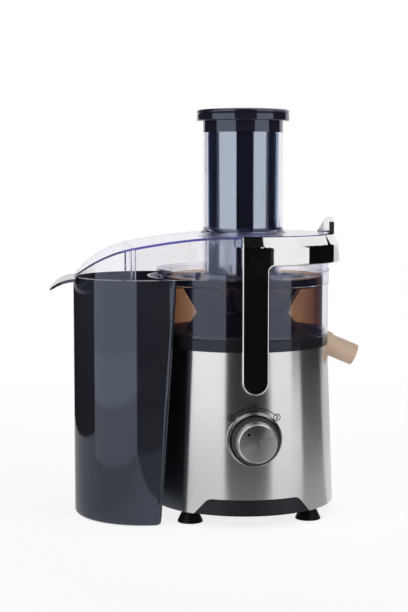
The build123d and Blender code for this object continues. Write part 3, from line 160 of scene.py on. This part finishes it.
# Base plate: the tray that closes the body from below, seen in the arch between the feet.
# Injection moulded in slate-blue plastic with a fine spark-eroded texture.
# Four turned steel screws pull it up against the columns of the deck.
def gloss_by(tree, shader, value, smooth, rough, start=0.3, end=0.7):
    """Makes a piece smooth where a value is at start and rough where it is at end."""
    tree.links.new(spread(tree, value, smooth, rough, start, end), shader.inputs["Roughness"])


slate, tree, shader = finish("base_plastic", IOR=1.38)
mould(tree, shader, grain=3200.0, gloss=0.42, change=0.12, depth=0.00004)
cloud = spread(tree, blotches(tree, 90.0, 3.0), 0.0, 1.0)
colour_by(tree, shader, cloud, low=(0.008, 0.009, 0.015), high=(0.012, 0.013, 0.021))
dress(slate, "base_plate")

turned_steel, tree, shader = finish("plain_steel", Metallic=1.0)
scratch = blotches(tree, 900.0, 4.0)
colour_by(tree, shader, scratch, low=(0.42, 0.42, 0.43), high=(0.62, 0.62, 0.63))
gloss_by(tree, shader, scratch, smooth=0.22, rough=0.38)
dress(
    turned_steel, "base_screws", "motor_shaft", "lower_bearing", "upper_bearing", "motor_bolts",
    "switch_nut", "knob_spindle", "arm_pivot_pins",
)


# Motor: a commutator motor on rubber washers, with a fan below and the drive shaft above.
# Stacked sheet-iron cores, lacquered copper windings, cast brackets and carbon brushes.
# Four long bolts clamp the brackets to the stack.
sheets_per_metre = 2000.0
wire_turn_rate = 7500.0


def height_of(tree):
    """The height of a point in the object's own frame."""
    return add(tree, "ShaderNodeSeparateXYZ", {"Vector": object_place(tree)}).outputs["Z"]


sheets, tree, shader = finish("laminations", Metallic=0.6, IOR=1.5)
layers = math_node(tree, "MULTIPLY", height_of(tree), sheets_per_metre)
layers = math_node(tree, "FRACT", layers)
colour_by(tree, shader, layers, low=(0.05, 0.05, 0.055), high=(0.16, 0.16, 0.17))
gloss_by(tree, shader, layers, smooth=0.45, rough=0.6, start=0.0, end=1.0)
dress(sheets, "stator_core", "rotor_core")

copper, tree, shader = finish("copper", Metallic=1.0, Coat_Weight=0.6, Coat_Roughness=0.15)
wire = math_node(tree, "MULTIPLY", height_of(tree), wire_turn_rate)
wire = math_node(tree, "SINE", wire)
# The wire is painted lighter on the crown of each turn and darker between turns: painted highlight
# and painted shade.
turn_shading = spread(tree, wire, 0.0, 1.0, start=-1.0, end=1.0)
colour_by(tree, shader, turn_shading, low=(0.30, 0.09, 0.03), high=(0.62, 0.25, 0.10))
gloss_by(tree, shader, wire, smooth=0.25, rough=0.40, start=-1.0, end=1.0)
relief(tree, shader, wire, depth=0.0002)
dress(copper, "field_coils", "rotor_windings", "commutator")

carbon, tree, shader = finish("carbon", IOR=1.6)
mould(tree, shader, grain=2400.0, gloss=0.55, change=0.15, depth=0.00005)
colour_by(tree, shader, blotches(tree, 700.0), low=(0.008, 0.008, 0.009), high=(0.03, 0.03, 0.03))
dress(carbon, "carbon_brushes")

cast, tree, shader = finish("cast_metal", Metallic=0.9)
mould(tree, shader, grain=900.0, gloss=0.48, change=0.18, depth=0.0001)
colour_by(tree, shader, blotches(tree, 240.0, 4.0), low=(0.28, 0.28, 0.29), high=(0.42, 0.42, 0.43))
dress(cast, "lower_bracket", "upper_bracket")


# Fan, brush holders, switch works and control board: the small pieces of the drive.
# The plastic ones are ivory, and the board's tracks show through green lacquer.
# The dial turns the switch, and the arm's cam moves the plunger.
ivory, tree, shader = finish("white_plastic", IOR=1.5)
mould(tree, shader, grain=1800.0, gloss=0.38, change=0.12, depth=0.00003)
colour_by(tree, shader, blotches(tree, 50.0, 3.0), low=(0.55, 0.53, 0.47), high=(0.66, 0.64, 0.58))
dress(
    ivory, "cooling_fan", "brush_holders", "rotary_switch", "interlock_cam", "switch_plunger"
)

board, tree, shader = finish("board_green", IOR=1.5, Coat_Weight=0.5, Coat_Roughness=0.2)
tracks = add(
    tree,
    "ShaderNodeTexVoronoi",
    {"Vector": object_place(tree), "Scale": 260.0},
    feature="DISTANCE_TO_EDGE",
)
trace = spread(tree, tracks.outputs["Distance"], 0.0, 1.0, start=0.03, end=0.08)
colour_by(tree, shader, trace, low=(0.10, 0.16, 0.05), high=(0.012, 0.06, 0.024))
gloss_by(tree, shader, trace, smooth=0.3, rough=0.45, start=0.0, end=1.0)
dress(board, "control_board")


# Steel shell: the tapered body round the motor, with an arch in its lower edge.
# Rolled from thin stainless sheet and brushed round its axis, so reflections smear upwards.
# It is clamped between the base plate and the deck.
brushed, brushed_in, brushed_out = start_group(
    "brushed_lines", {"Across": 0.0, "Along": 0.0}, ("Fine", "Broad")
)
for label, across, along in (("Fine", 5200.0, 9.0), ("Broad", 900.0, 3.0)):
    line = add(
        brushed,
        "ShaderNodeCombineXYZ",
        {
            "X": math_node(brushed, "MULTIPLY", brushed_in.outputs["Along"], along),
            "Z": math_node(brushed, "MULTIPLY", brushed_in.outputs["Across"], across),
        },
    ).outputs["Vector"]
    brushed.links.new(noise(brushed, line, 1.0, 3.0), brushed_out.inputs[label])

marks, marks_in, marks_out = start_group(
    "handling_marks", {"Size": 30.0, "Amount": 0.1}, ("Haze",)
)
patch = noise(marks, object_place(marks), marks_in.outputs["Size"], 5.0)
smear = spread(marks, patch, 0.0, 1.0, start=0.48, end=0.72)
marks.links.new(
    math_node(marks, "MULTIPLY", smear, marks_in.outputs["Amount"]), marks_out.inputs["Haze"]
)


def handled(tree, size, amount):
    """A faint haze where hands touch a polished piece."""
    settings = {"Size": size, "Amount": amount}
    return add(tree, "ShaderNodeGroup", settings, node_tree=marks).outputs["Haze"]


def brush(tree, shader, across, along, dark, light, rough, change):
    """Brushes metal with lines in colour, roughness and relief, and gives back its colour."""
    group = add(tree, "ShaderNodeGroup", {"Across": across, "Along": along}, node_tree=brushed)
    lines = math_node(tree, "ADD", group.outputs["Fine"], group.outputs["Broad"])
    lines = math_node(tree, "MULTIPLY", lines, 0.5)
    metal = tint(tree, spread(tree, lines, 0.0, 1.0), dark, light)
    tree.links.new(metal, shader.inputs["Base Color"])
    level = spread(tree, group.outputs["Fine"], rough - change, rough + change)
    level = math_node(tree, "ADD", level, handled(tree, size=26.0, amount=0.04))
    tree.links.new(level, shader.inputs["Roughness"])
    relief(tree, shader, lines, depth=0.000004)
    return metal


def round_axis(tree):
    """The height of a point, and its angle round the drive axis."""
    place = add(tree, "ShaderNodeSeparateXYZ", {"Vector": object_place(tree)})
    turn = math_node(tree, "ARCTAN2", place.outputs["Y"], place.outputs["X"])
    return place.outputs["Z"], turn


shell, tree, shader = finish("brushed_shell", Metallic=1.0, Anisotropic=0.85)
height, turn = round_axis(tree)
brush(
    tree, shader, height, turn,
    dark=(0.70, 0.70, 0.704), light=(0.745, 0.745, 0.75), rough=0.22, change=0.02,
)
upward = add(tree, "ShaderNodeCombineXYZ", {"Z": 1.0})
tree.links.new(upward.outputs["Vector"], shader.inputs["Tangent"])
dress(shell, "steel_shell")


# Dial print: a thin arc round the dial and three ringed numerals for off and the two speeds.
# Black ink, screen printed straight on the steel.
# Each mark is drawn flat in front of the shell and then laid on it.
dial_joint = next(
    joint for joint in frame["record"]["behaviour"]["joints"] if joint["name"] == "knob_turn"
)
dial_height = dial_joint["pos_m"][2]
print_front = -0.16
print_radius = 0.0302
mark_angle = 47.0
ring_radius = 0.0029
ring_points = 160
line_width = 0.0008
numeral_size = 0.0056
numeral_weight = 0.0002
ink_lift = 0.00006
ink_thickness = 0.00005


def lay_on_shell(piece):
    """Drops a flat mark straight back on the steel, and gives it the thickness of ink."""
    wrap = piece.modifiers.new("lay", "SHRINKWRAP")
    wrap.target = frame["nodes"]["steel_shell"]
    wrap.wrap_method = "PROJECT"
    wrap.use_project_y = True
    wrap.use_negative_direction = False
    wrap.use_positive_direction = True
    wrap.offset = ink_lift
    ink = piece.modifiers.new("ink", "SOLIDIFY")
    ink.thickness = ink_thickness
    ink.offset = 0.0
    bpy.ops.object.modifier_apply(modifier="lay")
    bpy.ops.object.modifier_apply(modifier="ink")


def drawn_ring(name, x, z, radius, keep):
    """A thin flat ring laid on the shell, with only the points that keep allows."""
    bpy.ops.object.select_all(action="DESELECT")
    bpy.ops.mesh.primitive_circle_add(
        vertices=ring_points,
        radius=radius,
        fill_type="NOTHING",
        location=(x, print_front, z),
        rotation=(math.radians(90), 0, 0),
    )
    piece = bpy.context.object
    piece.name = name
    bpy.ops.object.transform_apply(location=True, rotation=True, scale=True)
    for edge in piece.data.edges:
        edge.select = False
    for vertex in piece.data.vertices:
        vertex.select = not keep(vertex.co.x, vertex.co.z)
    bpy.ops.object.mode_set(mode="EDIT")
    bpy.ops.mesh.delete(type="VERT")
    bpy.ops.mesh.select_all(action="SELECT")
    bpy.ops.mesh.extrude_edges_move()
    wider = 1.0 + line_width / radius
    bpy.ops.transform.resize(value=(wider, 1.0, wider), center_override=(x, print_front, z))
    bpy.ops.mesh.select_all(action="SELECT")
    bpy.ops.mesh.normals_make_consistent(inside=False)
    bpy.ops.object.mode_set(mode="OBJECT")
    lay_on_shell(piece)
    return piece


def drawn_numeral(numeral, x, z):
    """A flat numeral laid on the shell."""
    bpy.ops.object.select_all(action="DESELECT")
    bpy.ops.object.text_add(location=(0, 0, 0))
    figure = bpy.context.object
    figure.name = "numeral_" + numeral
    figure.data.body = numeral
    figure.data.size = numeral_size
    figure.data.offset = numeral_weight
    figure.data.align_x = "CENTER"
    figure.data.align_y = "CENTER"
    bpy.ops.object.convert(target="MESH")
    figure = bpy.context.object
    figure.rotation_euler = (math.radians(90), 0, 0)
    figure.location = (x, print_front, z)
    bpy.ops.object.transform_apply(location=True, rotation=True, scale=True)
    lay_on_shell(figure)
    return figure


ring_places = []
for angle in (-mark_angle, 0.0, mark_angle):
    sideways = print_radius * math.sin(math.radians(angle))
    upwards = print_radius * math.cos(math.radians(angle))
    ring_places.append((sideways, dial_height + upwards))


def on_arc(x, z):
    """True on the arc between the outer rings, and clear of all three."""
    if z < dial_height or abs(x) > ring_places[2][0]:
        return False
    return all(math.hypot(x - a, z - b) > ring_radius for a, b in ring_places)


def all_round(x, z):
    """True everywhere, for a whole ring."""
    return True


printed = [drawn_ring("dial_print", 0.0, dial_height, print_radius, on_arc)]
for numeral, (x, z) in zip("012", ring_places):
    printed.append(drawn_ring("ring_" + numeral, x, z, ring_radius, all_round))
    printed.append(drawn_numeral(numeral, x, z))
bpy.ops.object.select_all(action="DESELECT")
for piece in printed:
    piece.select_set(True)
bpy.context.view_layer.objects.active = printed[0]
bpy.ops.object.join()
dial_print = bpy.context.object
ink, tree, shader = finish("print_ink", IOR=1.2)
mould(tree, shader, grain=5000.0, gloss=0.45, change=0.1, depth=0.00001)
colour_by(
    tree, shader, blotches(tree, 900.0), low=(0.003, 0.003, 0.004), high=(0.008, 0.008, 0.009)
)
dial_print.data.materials.clear()
dial_print.data.materials.append(ink)
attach(dial_print, "base")


# Dial: a satin trim ring, a fluted dark knob body and a spun metal cap with a pointer dimple.
# The cap is turned aluminium, so its face has fine rings and its shine runs from the middle.
# The knob pushes on the spindle of the switch behind the shell.
dot_shift = 0.00891
dot_radius = 0.0013


def dial_rings(tree):
    """Distance from the dial's axis, the angle round it, and the way outwards from it."""
    place = add(tree, "ShaderNodeSeparateXYZ", {"Vector": object_place(tree)})
    rise = math_node(tree, "SUBTRACT", place.outputs["Z"], dial_height)
    square = math_node(tree, "MULTIPLY", place.outputs["X"], place.outputs["X"])
    square = math_node(tree, "ADD", square, math_node(tree, "MULTIPLY", rise, rise))
    outward = add(tree, "ShaderNodeCombineXYZ", {"X": place.outputs["X"], "Z": rise})
    angle = math_node(tree, "ARCTAN2", rise, place.outputs["X"])
    return math_node(tree, "SQRT", square), angle, outward.outputs["Vector"]


spun, tree, shader = finish("spun_metal", Metallic=1.0, Anisotropic=0.85)
radius, angle, outward = dial_rings(tree)
metal = brush(
    tree, shader, radius, angle,
    dark=(0.60, 0.60, 0.595), light=(0.70, 0.70, 0.695), rough=0.28, change=0.03,
)
tree.links.new(outward, shader.inputs["Tangent"])
# The cap's colour is black within a small circle at the pointer dimple.
to_dot = add(
    tree,
    "ShaderNodeVectorMath",
    {0: outward, 1: (-dot_shift, 0.0, dot_shift)},
    operation="DISTANCE",
)
off_dot = math_node(tree, "GREATER_THAN", to_dot.outputs["Value"], dot_radius)
dotted = add(tree, "ShaderNodeVectorMath", {0: metal, 1: off_dot}, operation="MULTIPLY")
tree.links.new(dotted.outputs["Vector"], shader.inputs["Base Color"])
dress(spun, "knob_cap")

satin, tree, shader = finish("satin_ring", Metallic=1.0, Anisotropic=0.5)
radius, angle, outward = dial_rings(tree)
brush(
    tree, shader, radius, angle,
    dark=(0.40, 0.40, 0.41), light=(0.52, 0.52, 0.53), rough=0.26, change=0.04,
)
tree.links.new(outward, shader.inputs["Tangent"])
dress(satin, "dial_bezel")

knob_black, tree, shader = finish("knob_black", Metallic=0.7, IOR=1.5)
mould(tree, shader, grain=1500.0, gloss=0.30, change=0.08, depth=0.00002)
colour_by(tree, shader, blotches(tree, 80.0), low=(0.12, 0.12, 0.125), high=(0.15, 0.15, 0.156))
dress(knob_black, "knob_skirt")


# Motor deck: the black collar on the shell, with a turret that stands up inside the bowl.
# Moulded in glossy black plastic, and screwed down on long columns.
# The pivot blocks and bushes of the locking arm hang under it.
cool_shine = (0.66, 0.78, 1.0, 1.0)
black, tree, shader = finish("black_plastic", IOR=1.46, Specular_Tint=cool_shine)
mould(tree, shader, grain=420.0, gloss=0.10, change=0.06, depth=0.000008)
colour_by(tree, shader, blotches(tree, 70.0), low=(0.010, 0.010, 0.012), high=(0.014, 0.014, 0.017))
dress(
    black, "motor_deck", "deck_turret", "deck_columns", "pivot_blocks", "pivot_bushes",
    "interlock_switch", "drive_coupling",
)


# Juice bowl: a clear outer wall round a smoke-brown liner, on a floor that drains into a spout.
# The wall is clear plastic, the liner dyed brown, the thick floor nearly black and the spout beige.
# It drops on the collar, and the lid closes it.
def clear_piece(name, dye, density, rough, haze_size, haze, shadow, **sockets):
    """Dyed clear plastic: tinted by its thickness, polished, and casting a pale shadow."""
    material, tree, shader = finish(
        name, Base_Color=(1.0, 1.0, 1.0, 1.0), Transmission_Weight=1.0, **sockets
    )
    level = math_node(tree, "ADD", handled(tree, haze_size, haze), rough)
    tree.links.new(level, shader.inputs["Roughness"])
    output = tree.nodes["Material Output"]
    absorb = add(tree, "ShaderNodeVolumeAbsorption", {"Color": (*dye, 1.0), "Density": density})
    tree.links.new(absorb.outputs["Volume"], output.inputs["Volume"])
    path = add(tree, "ShaderNodeLightPath")
    through = add(tree, "ShaderNodeBsdfTransparent", {"Color": (*shadow, 1.0)})
    mix = add(
        tree,
        "ShaderNodeMixShader",
        {"Fac": path.outputs["Is Shadow Ray"], 1: shader.outputs[0], 2: through.outputs[0]},
    )
    tree.links.new(mix.outputs[0], output.inputs["Surface"])
    return material


violet_plastic = {
    "dye": (0.36, 0.33, 0.73),
    "density": 24.0,
    "rough": 0.01,
    "haze_size": 20.0,
    "haze": 0.03,
    "shadow": (0.94, 0.94, 0.97),
    "IOR": 1.52,
    "Specular_Tint": cool_shine,
}
clear = clear_piece(
    "clear", Sheen_Weight=0.08, Sheen_Roughness=0.6, Sheen_Tint=(0.4, 0.45, 1.0, 1.0),
    **violet_plastic,
)
dress(clear, "juice_bowl")

smoke = clear_piece(
    "smoke_brown", dye=(0.642, 0.477, 0.299), density=680.0, rough=0.015, haze_size=24.0,
    haze=0.05, shadow=(0.75, 0.62, 0.45), IOR=1.06,
)
dress(smoke, "bowl_liner")

deep, tree, shader = finish("smoke_floor", IOR=1.35)
mould(tree, shader, grain=600.0, gloss=0.5, change=0.1, depth=0.00003)
colour_by(tree, shader, blotches(tree, 45.0), low=(0.010, 0.007, 0.005), high=(0.017, 0.012, 0.008))
dress(deep, "bowl_floor")

beige, tree, shader = finish("smoke_beige", IOR=1.5)
mould(tree, shader, grain=300.0, gloss=0.2, change=0.06, depth=0.000008)
cloud = spread(tree, blotches(tree, 55.0, 3.0), 0.0, 1.0)
colour_by(tree, shader, cloud, low=(0.53, 0.385, 0.275), high=(0.59, 0.435, 0.32))
dress(beige, "juice_spout", "bowl_drain")


# Filter basket: a ribbed frame with a fine sieve cone and a toothed grater in its floor.
# The frame is dark moulded plastic; the sieve and the grater are etched stainless sheet.
# It drops on the lobed coupling and spins with the motor.
hole_columns = 260.0
hole_row_rate = 5200.0

frame_dark, tree, shader = finish("basket_dark", IOR=1.5)
mould(tree, shader, grain=700.0, gloss=0.18, change=0.08, depth=0.00001)
colour_by(tree, shader, blotches(tree, 60.0), low=(0.012, 0.012, 0.014), high=(0.018, 0.018, 0.02))
dress(frame_dark, "basket_frame")

sieve, tree, shader = finish("sieve_steel", Metallic=1.0)
height, turn = round_axis(tree)
column = math_node(tree, "SINE", math_node(tree, "MULTIPLY", turn, hole_columns))
row = math_node(tree, "SINE", math_node(tree, "MULTIPLY", height, hole_row_rate))
hole = spread(tree, math_node(tree, "MULTIPLY", column, row), 0.0, 1.0, start=0.15, end=0.35)
# The holes are painted near black: painted shade for the dark inside seen through them.
colour_by(tree, shader, hole, low=(0.45, 0.45, 0.46), high=(0.03, 0.03, 0.03))
gloss_by(tree, shader, hole, smooth=0.28, rough=0.6, start=0.0, end=1.0)
relief(tree, shader, hole, depth=-0.0001)
dress(sieve, "filter_mesh", "grater_disc")


# Lid and feed chute: a drum over the bowl, a hood over the pulp container, and a wide tube.
# Moulded in clear plastic with a violet-blue dye that shows only along edges.
# The lid sits on the bowl, inside the arm, and the chute ends just above the grater.
dress(clear, "feed_chute")
lid = clear_piece(
    "lid_clear", Sheen_Weight=0.15, Sheen_Roughness=0.5, Sheen_Tint=(0.6, 0.6, 1.0, 1.0),
    **violet_plastic,
)
dress(lid, "lid_cover")


# Pusher: a hollow plunger with a domed cap that presses fruit down the chute.
# Moulded in navy-charcoal plastic, lacquered below the collar and plain above it.
# It slides in the chute and stops on its collar.
collar_foot = 0.3812
lacquer_colour = (0.385, 0.44, 0.50, 1.0)
navy, tree, shader = finish("charcoal_gloss", IOR=1.95, Specular_Tint=cool_shine)
mould(tree, shader, grain=260.0, gloss=0.06, change=0.03, depth=0.000002)
plain = tint(tree, blotches(tree, 40.0), low=(0.008, 0.008, 0.013), high=(0.011, 0.011, 0.018))
lacquer = math_node(tree, "LESS_THAN", height_of(tree), collar_foot)
colour = add(
    tree, "ShaderNodeMix", {"Factor": lacquer, "A": plain, "B": lacquer_colour}, data_type="RGBA"
)
tree.links.new(colour.outputs["Result"], shader.inputs["Base Color"])
tree.links.new(lacquer, shader.inputs["Metallic"])
dress(navy, "pusher_body", "pusher_cap")


# Pulp container: a tall bin that hugs the machine, with a drooping lip to pull it by.
# Moulded in polished charcoal plastic; long runs of the wall ripple a little.
# It stands on the counter under the hood, held by nothing.
charcoal, tree, shader = finish("container_gloss", IOR=1.84, Specular_Tint=cool_shine)
mould(tree, shader, grain=9.0, gloss=0.07, change=0.06, depth=0.0004)
haze = handled(tree, size=18.0, amount=1.0)
colour_by(tree, shader, haze, low=(0.0155, 0.0165, 0.0225), high=(0.019, 0.020, 0.026))
dress(charcoal, "pulp_container")


# Locking arm: a bail that swings up round the lid and trips the safety switch.
# Cast, polished and chrome plated, with a thumb fin at its middle.
# Its legs turn on steel pins through the shell.
chrome, tree, shader = finish("chrome", Metallic=1.0)
haze = handled(tree, size=34.0, amount=1.0)
colour_by(tree, shader, haze, low=(0.80, 0.80, 0.80), high=(0.74, 0.74, 0.745))
gloss_by(tree, shader, haze, smooth=0.035, rough=0.10, start=0.0, end=1.0)
dress(chrome, "locking_arm")


# Table: a white table top that keeps the object's shadow.
# In reflections its glow is painted lower in front of the dial, at the right and far to the left:
# painted shade.
# Angles run to the right from the camera's side of the object.
camera_turn = 7.5
camera_way = (-math.sin(math.radians(camera_turn)), -math.cos(math.radians(camera_turn)))
right_way = (math.cos(math.radians(camera_turn)), -math.sin(math.radians(camera_turn)))
table_size = 8.0
table_drop = 0.0002
plain_white = (1.0, 1.0, 1.0, 1.0)
steel_front = (-0.012, -0.09, 0.0)
mirrored_levels = ((-180.0, 0.62), (-24.6, 0.10), (40.0, 0.55), (87.0, 0.28), (128.0, 0.6))


def reach_along(tree, vector, way):
    """How far a vector reaches along a level direction."""
    return add(
        tree, "ShaderNodeVectorMath", {0: vector, 1: (*way, 0.0)}, operation="DOT_PRODUCT"
    ).outputs["Value"]


bpy.ops.object.select_all(action="DESELECT")
bpy.ops.mesh.primitive_plane_add(size=table_size, location=(0, 0, -table_drop))
table = bpy.context.object
table.name = "table"
bpy.ops.object.transform_apply(location=True, rotation=True, scale=True)
white, tree, shader = finish(
    "table_white",
    Base_Color=(0.34, 0.34, 0.34, 1.0),
    Roughness=0.9,
    Specular_IOR_Level=0.0,
    Emission_Color=plain_white,
)
away = add(tree, "ShaderNodeVectorMath", {0: object_place(tree)}, operation="LENGTH")
glow = spread(tree, away.outputs["Value"], 0.82, 0.865, start=0.3, end=1.2)
from_steel = add(
    tree, "ShaderNodeVectorMath", {0: object_place(tree), 1: steel_front}, operation="SUBTRACT"
).outputs["Vector"]
side = reach_along(tree, from_steel, right_way)
near = reach_along(tree, from_steel, camera_way)
round_it = math_node(tree, "ARCTAN2", side, near)
painted_mirror_glow = add(
    tree, "ShaderNodeValToRGB", {"Fac": spread(tree, round_it, 0.0, 1.0, -math.pi, math.pi)}
)
painted_mirror_glow.color_ramp.interpolation = "CONSTANT"
for start, level in mirrored_levels:
    stop = painted_mirror_glow.color_ramp.elements.new((start + 180.0) / 360.0)
    stop.color = (level, level, level, 1.0)
painted_mirror_glow.color_ramp.elements.remove(painted_mirror_glow.color_ramp.elements[0])
painted_mirror_glow.color_ramp.elements.remove(painted_mirror_glow.color_ramp.elements[-1])
# Towards the left, where the pulp container stands, the glow in reflections is painted darker
# still: painted shade.
left_part = add(tree, "ShaderNodeSeparateXYZ", {"Vector": object_place(tree)}).outputs["X"]
painted_shade_left = spread(tree, left_part, 0.62, 1.0, start=-0.22, end=-0.10)
in_mirror = math_node(tree, "MULTIPLY", painted_mirror_glow.outputs["Color"], painted_shade_left)
path = add(tree, "ShaderNodeLightPath")
mirrored = math_node(
    tree, "SUBTRACT", path.outputs["Is Glossy Ray"], path.outputs["Is Transmission Ray"]
)
shown = add(
    tree, "ShaderNodeMix", {"Factor": mirrored, "A": glow, "B": in_mirror}, data_type="FLOAT"
)
tree.links.new(shown.outputs["Result"], shader.inputs["Emission Strength"])
table.data.materials.append(white)


# Light tent: a softbox at each side of the camera, and cards in a ring round the object.
# Cards show only in reflections and through clear pieces: bright for the boxes, dimmer between.
# Two of them are hidden from clear pieces and one from reflections; the world behind is white.
tent_radius = 0.47
fin_card_radius = 0.45
dark_card = 0.004
lit_box = 1.05
far_left = -140.0
back_left = -121.0
left_end = -78.0
front_left = -20.0
front_right = 30.0
right_end = 76.0
unseen_through = ("card_left_low", "card_fin_back")
unseen_in_gloss = ("card_left_back",)
lamp_middle_height = 0.6
lamp_length = 0.8
lamp_energy = 1.0
lamp_spread = 110.0
fill_strength = 0.4


def round_the_object(angle, radius):
    """A point at an angle to the right of the camera, and a distance from the drive axis."""
    near = radius * math.cos(math.radians(angle))
    side = radius * math.sin(math.radians(angle))
    x = camera_way[0] * near + right_way[0] * side
    y = camera_way[1] * near + right_way[1] * side
    return x, y


def chord(start, end, radius):
    """Middle, width and turn of a flat panel between two angles round the object."""
    near = round_the_object(start, radius)
    far = round_the_object(end, radius)
    middle = ((near[0] + far[0]) / 2, (near[1] + far[1]) / 2)
    width = math.hypot(far[0] - near[0], far[1] - near[1])
    return middle, width, math.atan2(far[1] - near[1], far[0] - near[0])


for name, start, end, low, high, level, radius in (
    ("card_front", front_left, front_right, 0.05, 0.7, dark_card, tent_radius),
    ("card_front_top", front_left, front_right, 0.7, 1.6, 0.010, tent_radius),
    ("card_front_foot", front_left, front_right, 0.0, 0.05, 0.06, tent_radius),
    ("card_front_low", front_right, 34.0, 0.0, 0.12, 0.10, tent_radius),
    ("card_left", back_left, left_end, 0.2, 1.2, dark_card, tent_radius),
    ("card_left_top", far_left, back_left, 0.34, 1.2, dark_card, tent_radius),
    ("card_left_back", far_left, back_left, 0.2, 0.34, dark_card, tent_radius),
    ("card_fin_back", far_left, back_left, 0.2, 0.34, 0.6, tent_radius),
    ("card_left_low", far_left, left_end, 0.03, 0.2, dark_card, tent_radius),
    ("card_right", right_end, 126.0, 0.11, 0.44, dark_card, tent_radius),
    ("card_right_mid", 62.0, right_end, 0.12, 0.215, dark_card, tent_radius),
    ("card_right_low", right_end, 119.0, 0.0, 0.11, 0.10, tent_radius),
    ("card_right_back", 119.0, 165.0, 0.0, 0.10, 0.62, tent_radius),
    ("card_fin", 29.0, 32.5, 0.2, 0.7, 0.03, fin_card_radius),
    ("box_left", left_end, front_left, 0.13, 1.0, lit_box, tent_radius),
    ("box_left_mid", left_end, front_left, 0.07, 0.13, 1.2, tent_radius),
    ("box_left_low", left_end, front_left, 0.0, 0.07, 0.8, tent_radius),
    ("box_right", front_right, right_end, 0.215, 1.0, lit_box, tent_radius),
    ("box_right_mid", front_right, 62.0, 0.12, 0.215, lit_box, tent_radius),
    ("box_right_low", 34.0, right_end, 0.0, 0.12, 0.95, tent_radius),
):
    middle, width, turn = chord(start, end, radius)
    bpy.ops.object.select_all(action="DESELECT")
    bpy.ops.mesh.primitive_plane_add(size=1.0, location=(middle[0], middle[1], (low + high) / 2))
    card = bpy.context.object
    card.name = name
    card.scale = (width, high - low, 1.0)
    card.rotation_euler = (math.radians(90), 0, turn)
    bpy.ops.object.transform_apply(location=True, rotation=True, scale=True)
    paint, tree, shader = finish(
        name,
        Base_Color=(0.0, 0.0, 0.0, 1.0),
        Roughness=1.0,
        Specular_IOR_Level=0.0,
        Emission_Color=plain_white,
        Emission_Strength=level,
    )
    card.data.materials.append(paint)
    card.visible_camera = False
    card.visible_diffuse = False
    card.visible_volume_scatter = False
    card.visible_shadow = False
    card.visible_transmission = name not in unseen_through
    card.visible_glossy = name not in unseen_in_gloss

for name, start, end in (
    ("softbox_left", left_end, front_left),
    ("softbox_right", front_right, right_end),
):
    middle, width, turn = chord(start, end, tent_radius)
    lamp = bpy.data.lights.new(name, "AREA")
    lamp.shape = "RECTANGLE"
    lamp.size = width
    lamp.size_y = lamp_length
    lamp.energy = lamp_energy
    lamp.spread = math.radians(lamp_spread)
    softbox = bpy.data.objects.new(name, lamp)
    bpy.context.scene.collection.objects.link(softbox)
    softbox.location = (middle[0], middle[1], lamp_middle_height)
    facing = math.atan2(middle[1], middle[0]) + math.radians(90)
    softbox.rotation_euler = (math.radians(90), 0, facing)
    softbox.visible_glossy = False
    softbox.visible_transmission = False

world = bpy.data.worlds.new("tent")
bpy.context.scene.world = world
world.use_nodes = True
tree = world.node_tree
path = add(tree, "ShaderNodeLightPath")
seen = math_node(tree, "MAXIMUM", path.outputs["Is Camera Ray"], path.outputs["Is Glossy Ray"])
seen = math_node(tree, "MAXIMUM", seen, path.outputs["Is Transmission Ray"])
fill = tree.nodes["Background"]
fill.inputs["Color"].default_value = plain_white
fill.inputs["Strength"].default_value = fill_strength
paper = add(tree, "ShaderNodeBackground", {"Color": plain_white, "Strength": 1.0})
shown = add(tree, "ShaderNodeMixShader", {"Fac": seen, 1: fill.outputs[0], 2: paper.outputs[0]})
tree.links.new(shown.outputs[0], tree.nodes["World Output"].inputs["Surface"])


# Camera: a long lens about 1.4 m from the drive axis.
# It stands a little lower than the chute's rim, to the left of the dial, and looks slightly down.
camera_place = (-0.1908, -1.4179, 0.3441)
camera_tilt = 84.52
camera_pan = -6.10
focal_length = 83.49
sensor_width = 36.0

lens = bpy.data.cameras.new("camera")
lens.sensor_width = sensor_width
lens.lens = focal_length
camera = bpy.data.objects.new("camera", lens)
camera.location = camera_place
camera.rotation_euler = (math.radians(camera_tilt), 0, math.radians(camera_pan))
bpy.context.scene.collection.objects.link(camera)
bpy.context.scene.camera = camera
bpy.context.scene.view_settings.view_transform = "Standard"
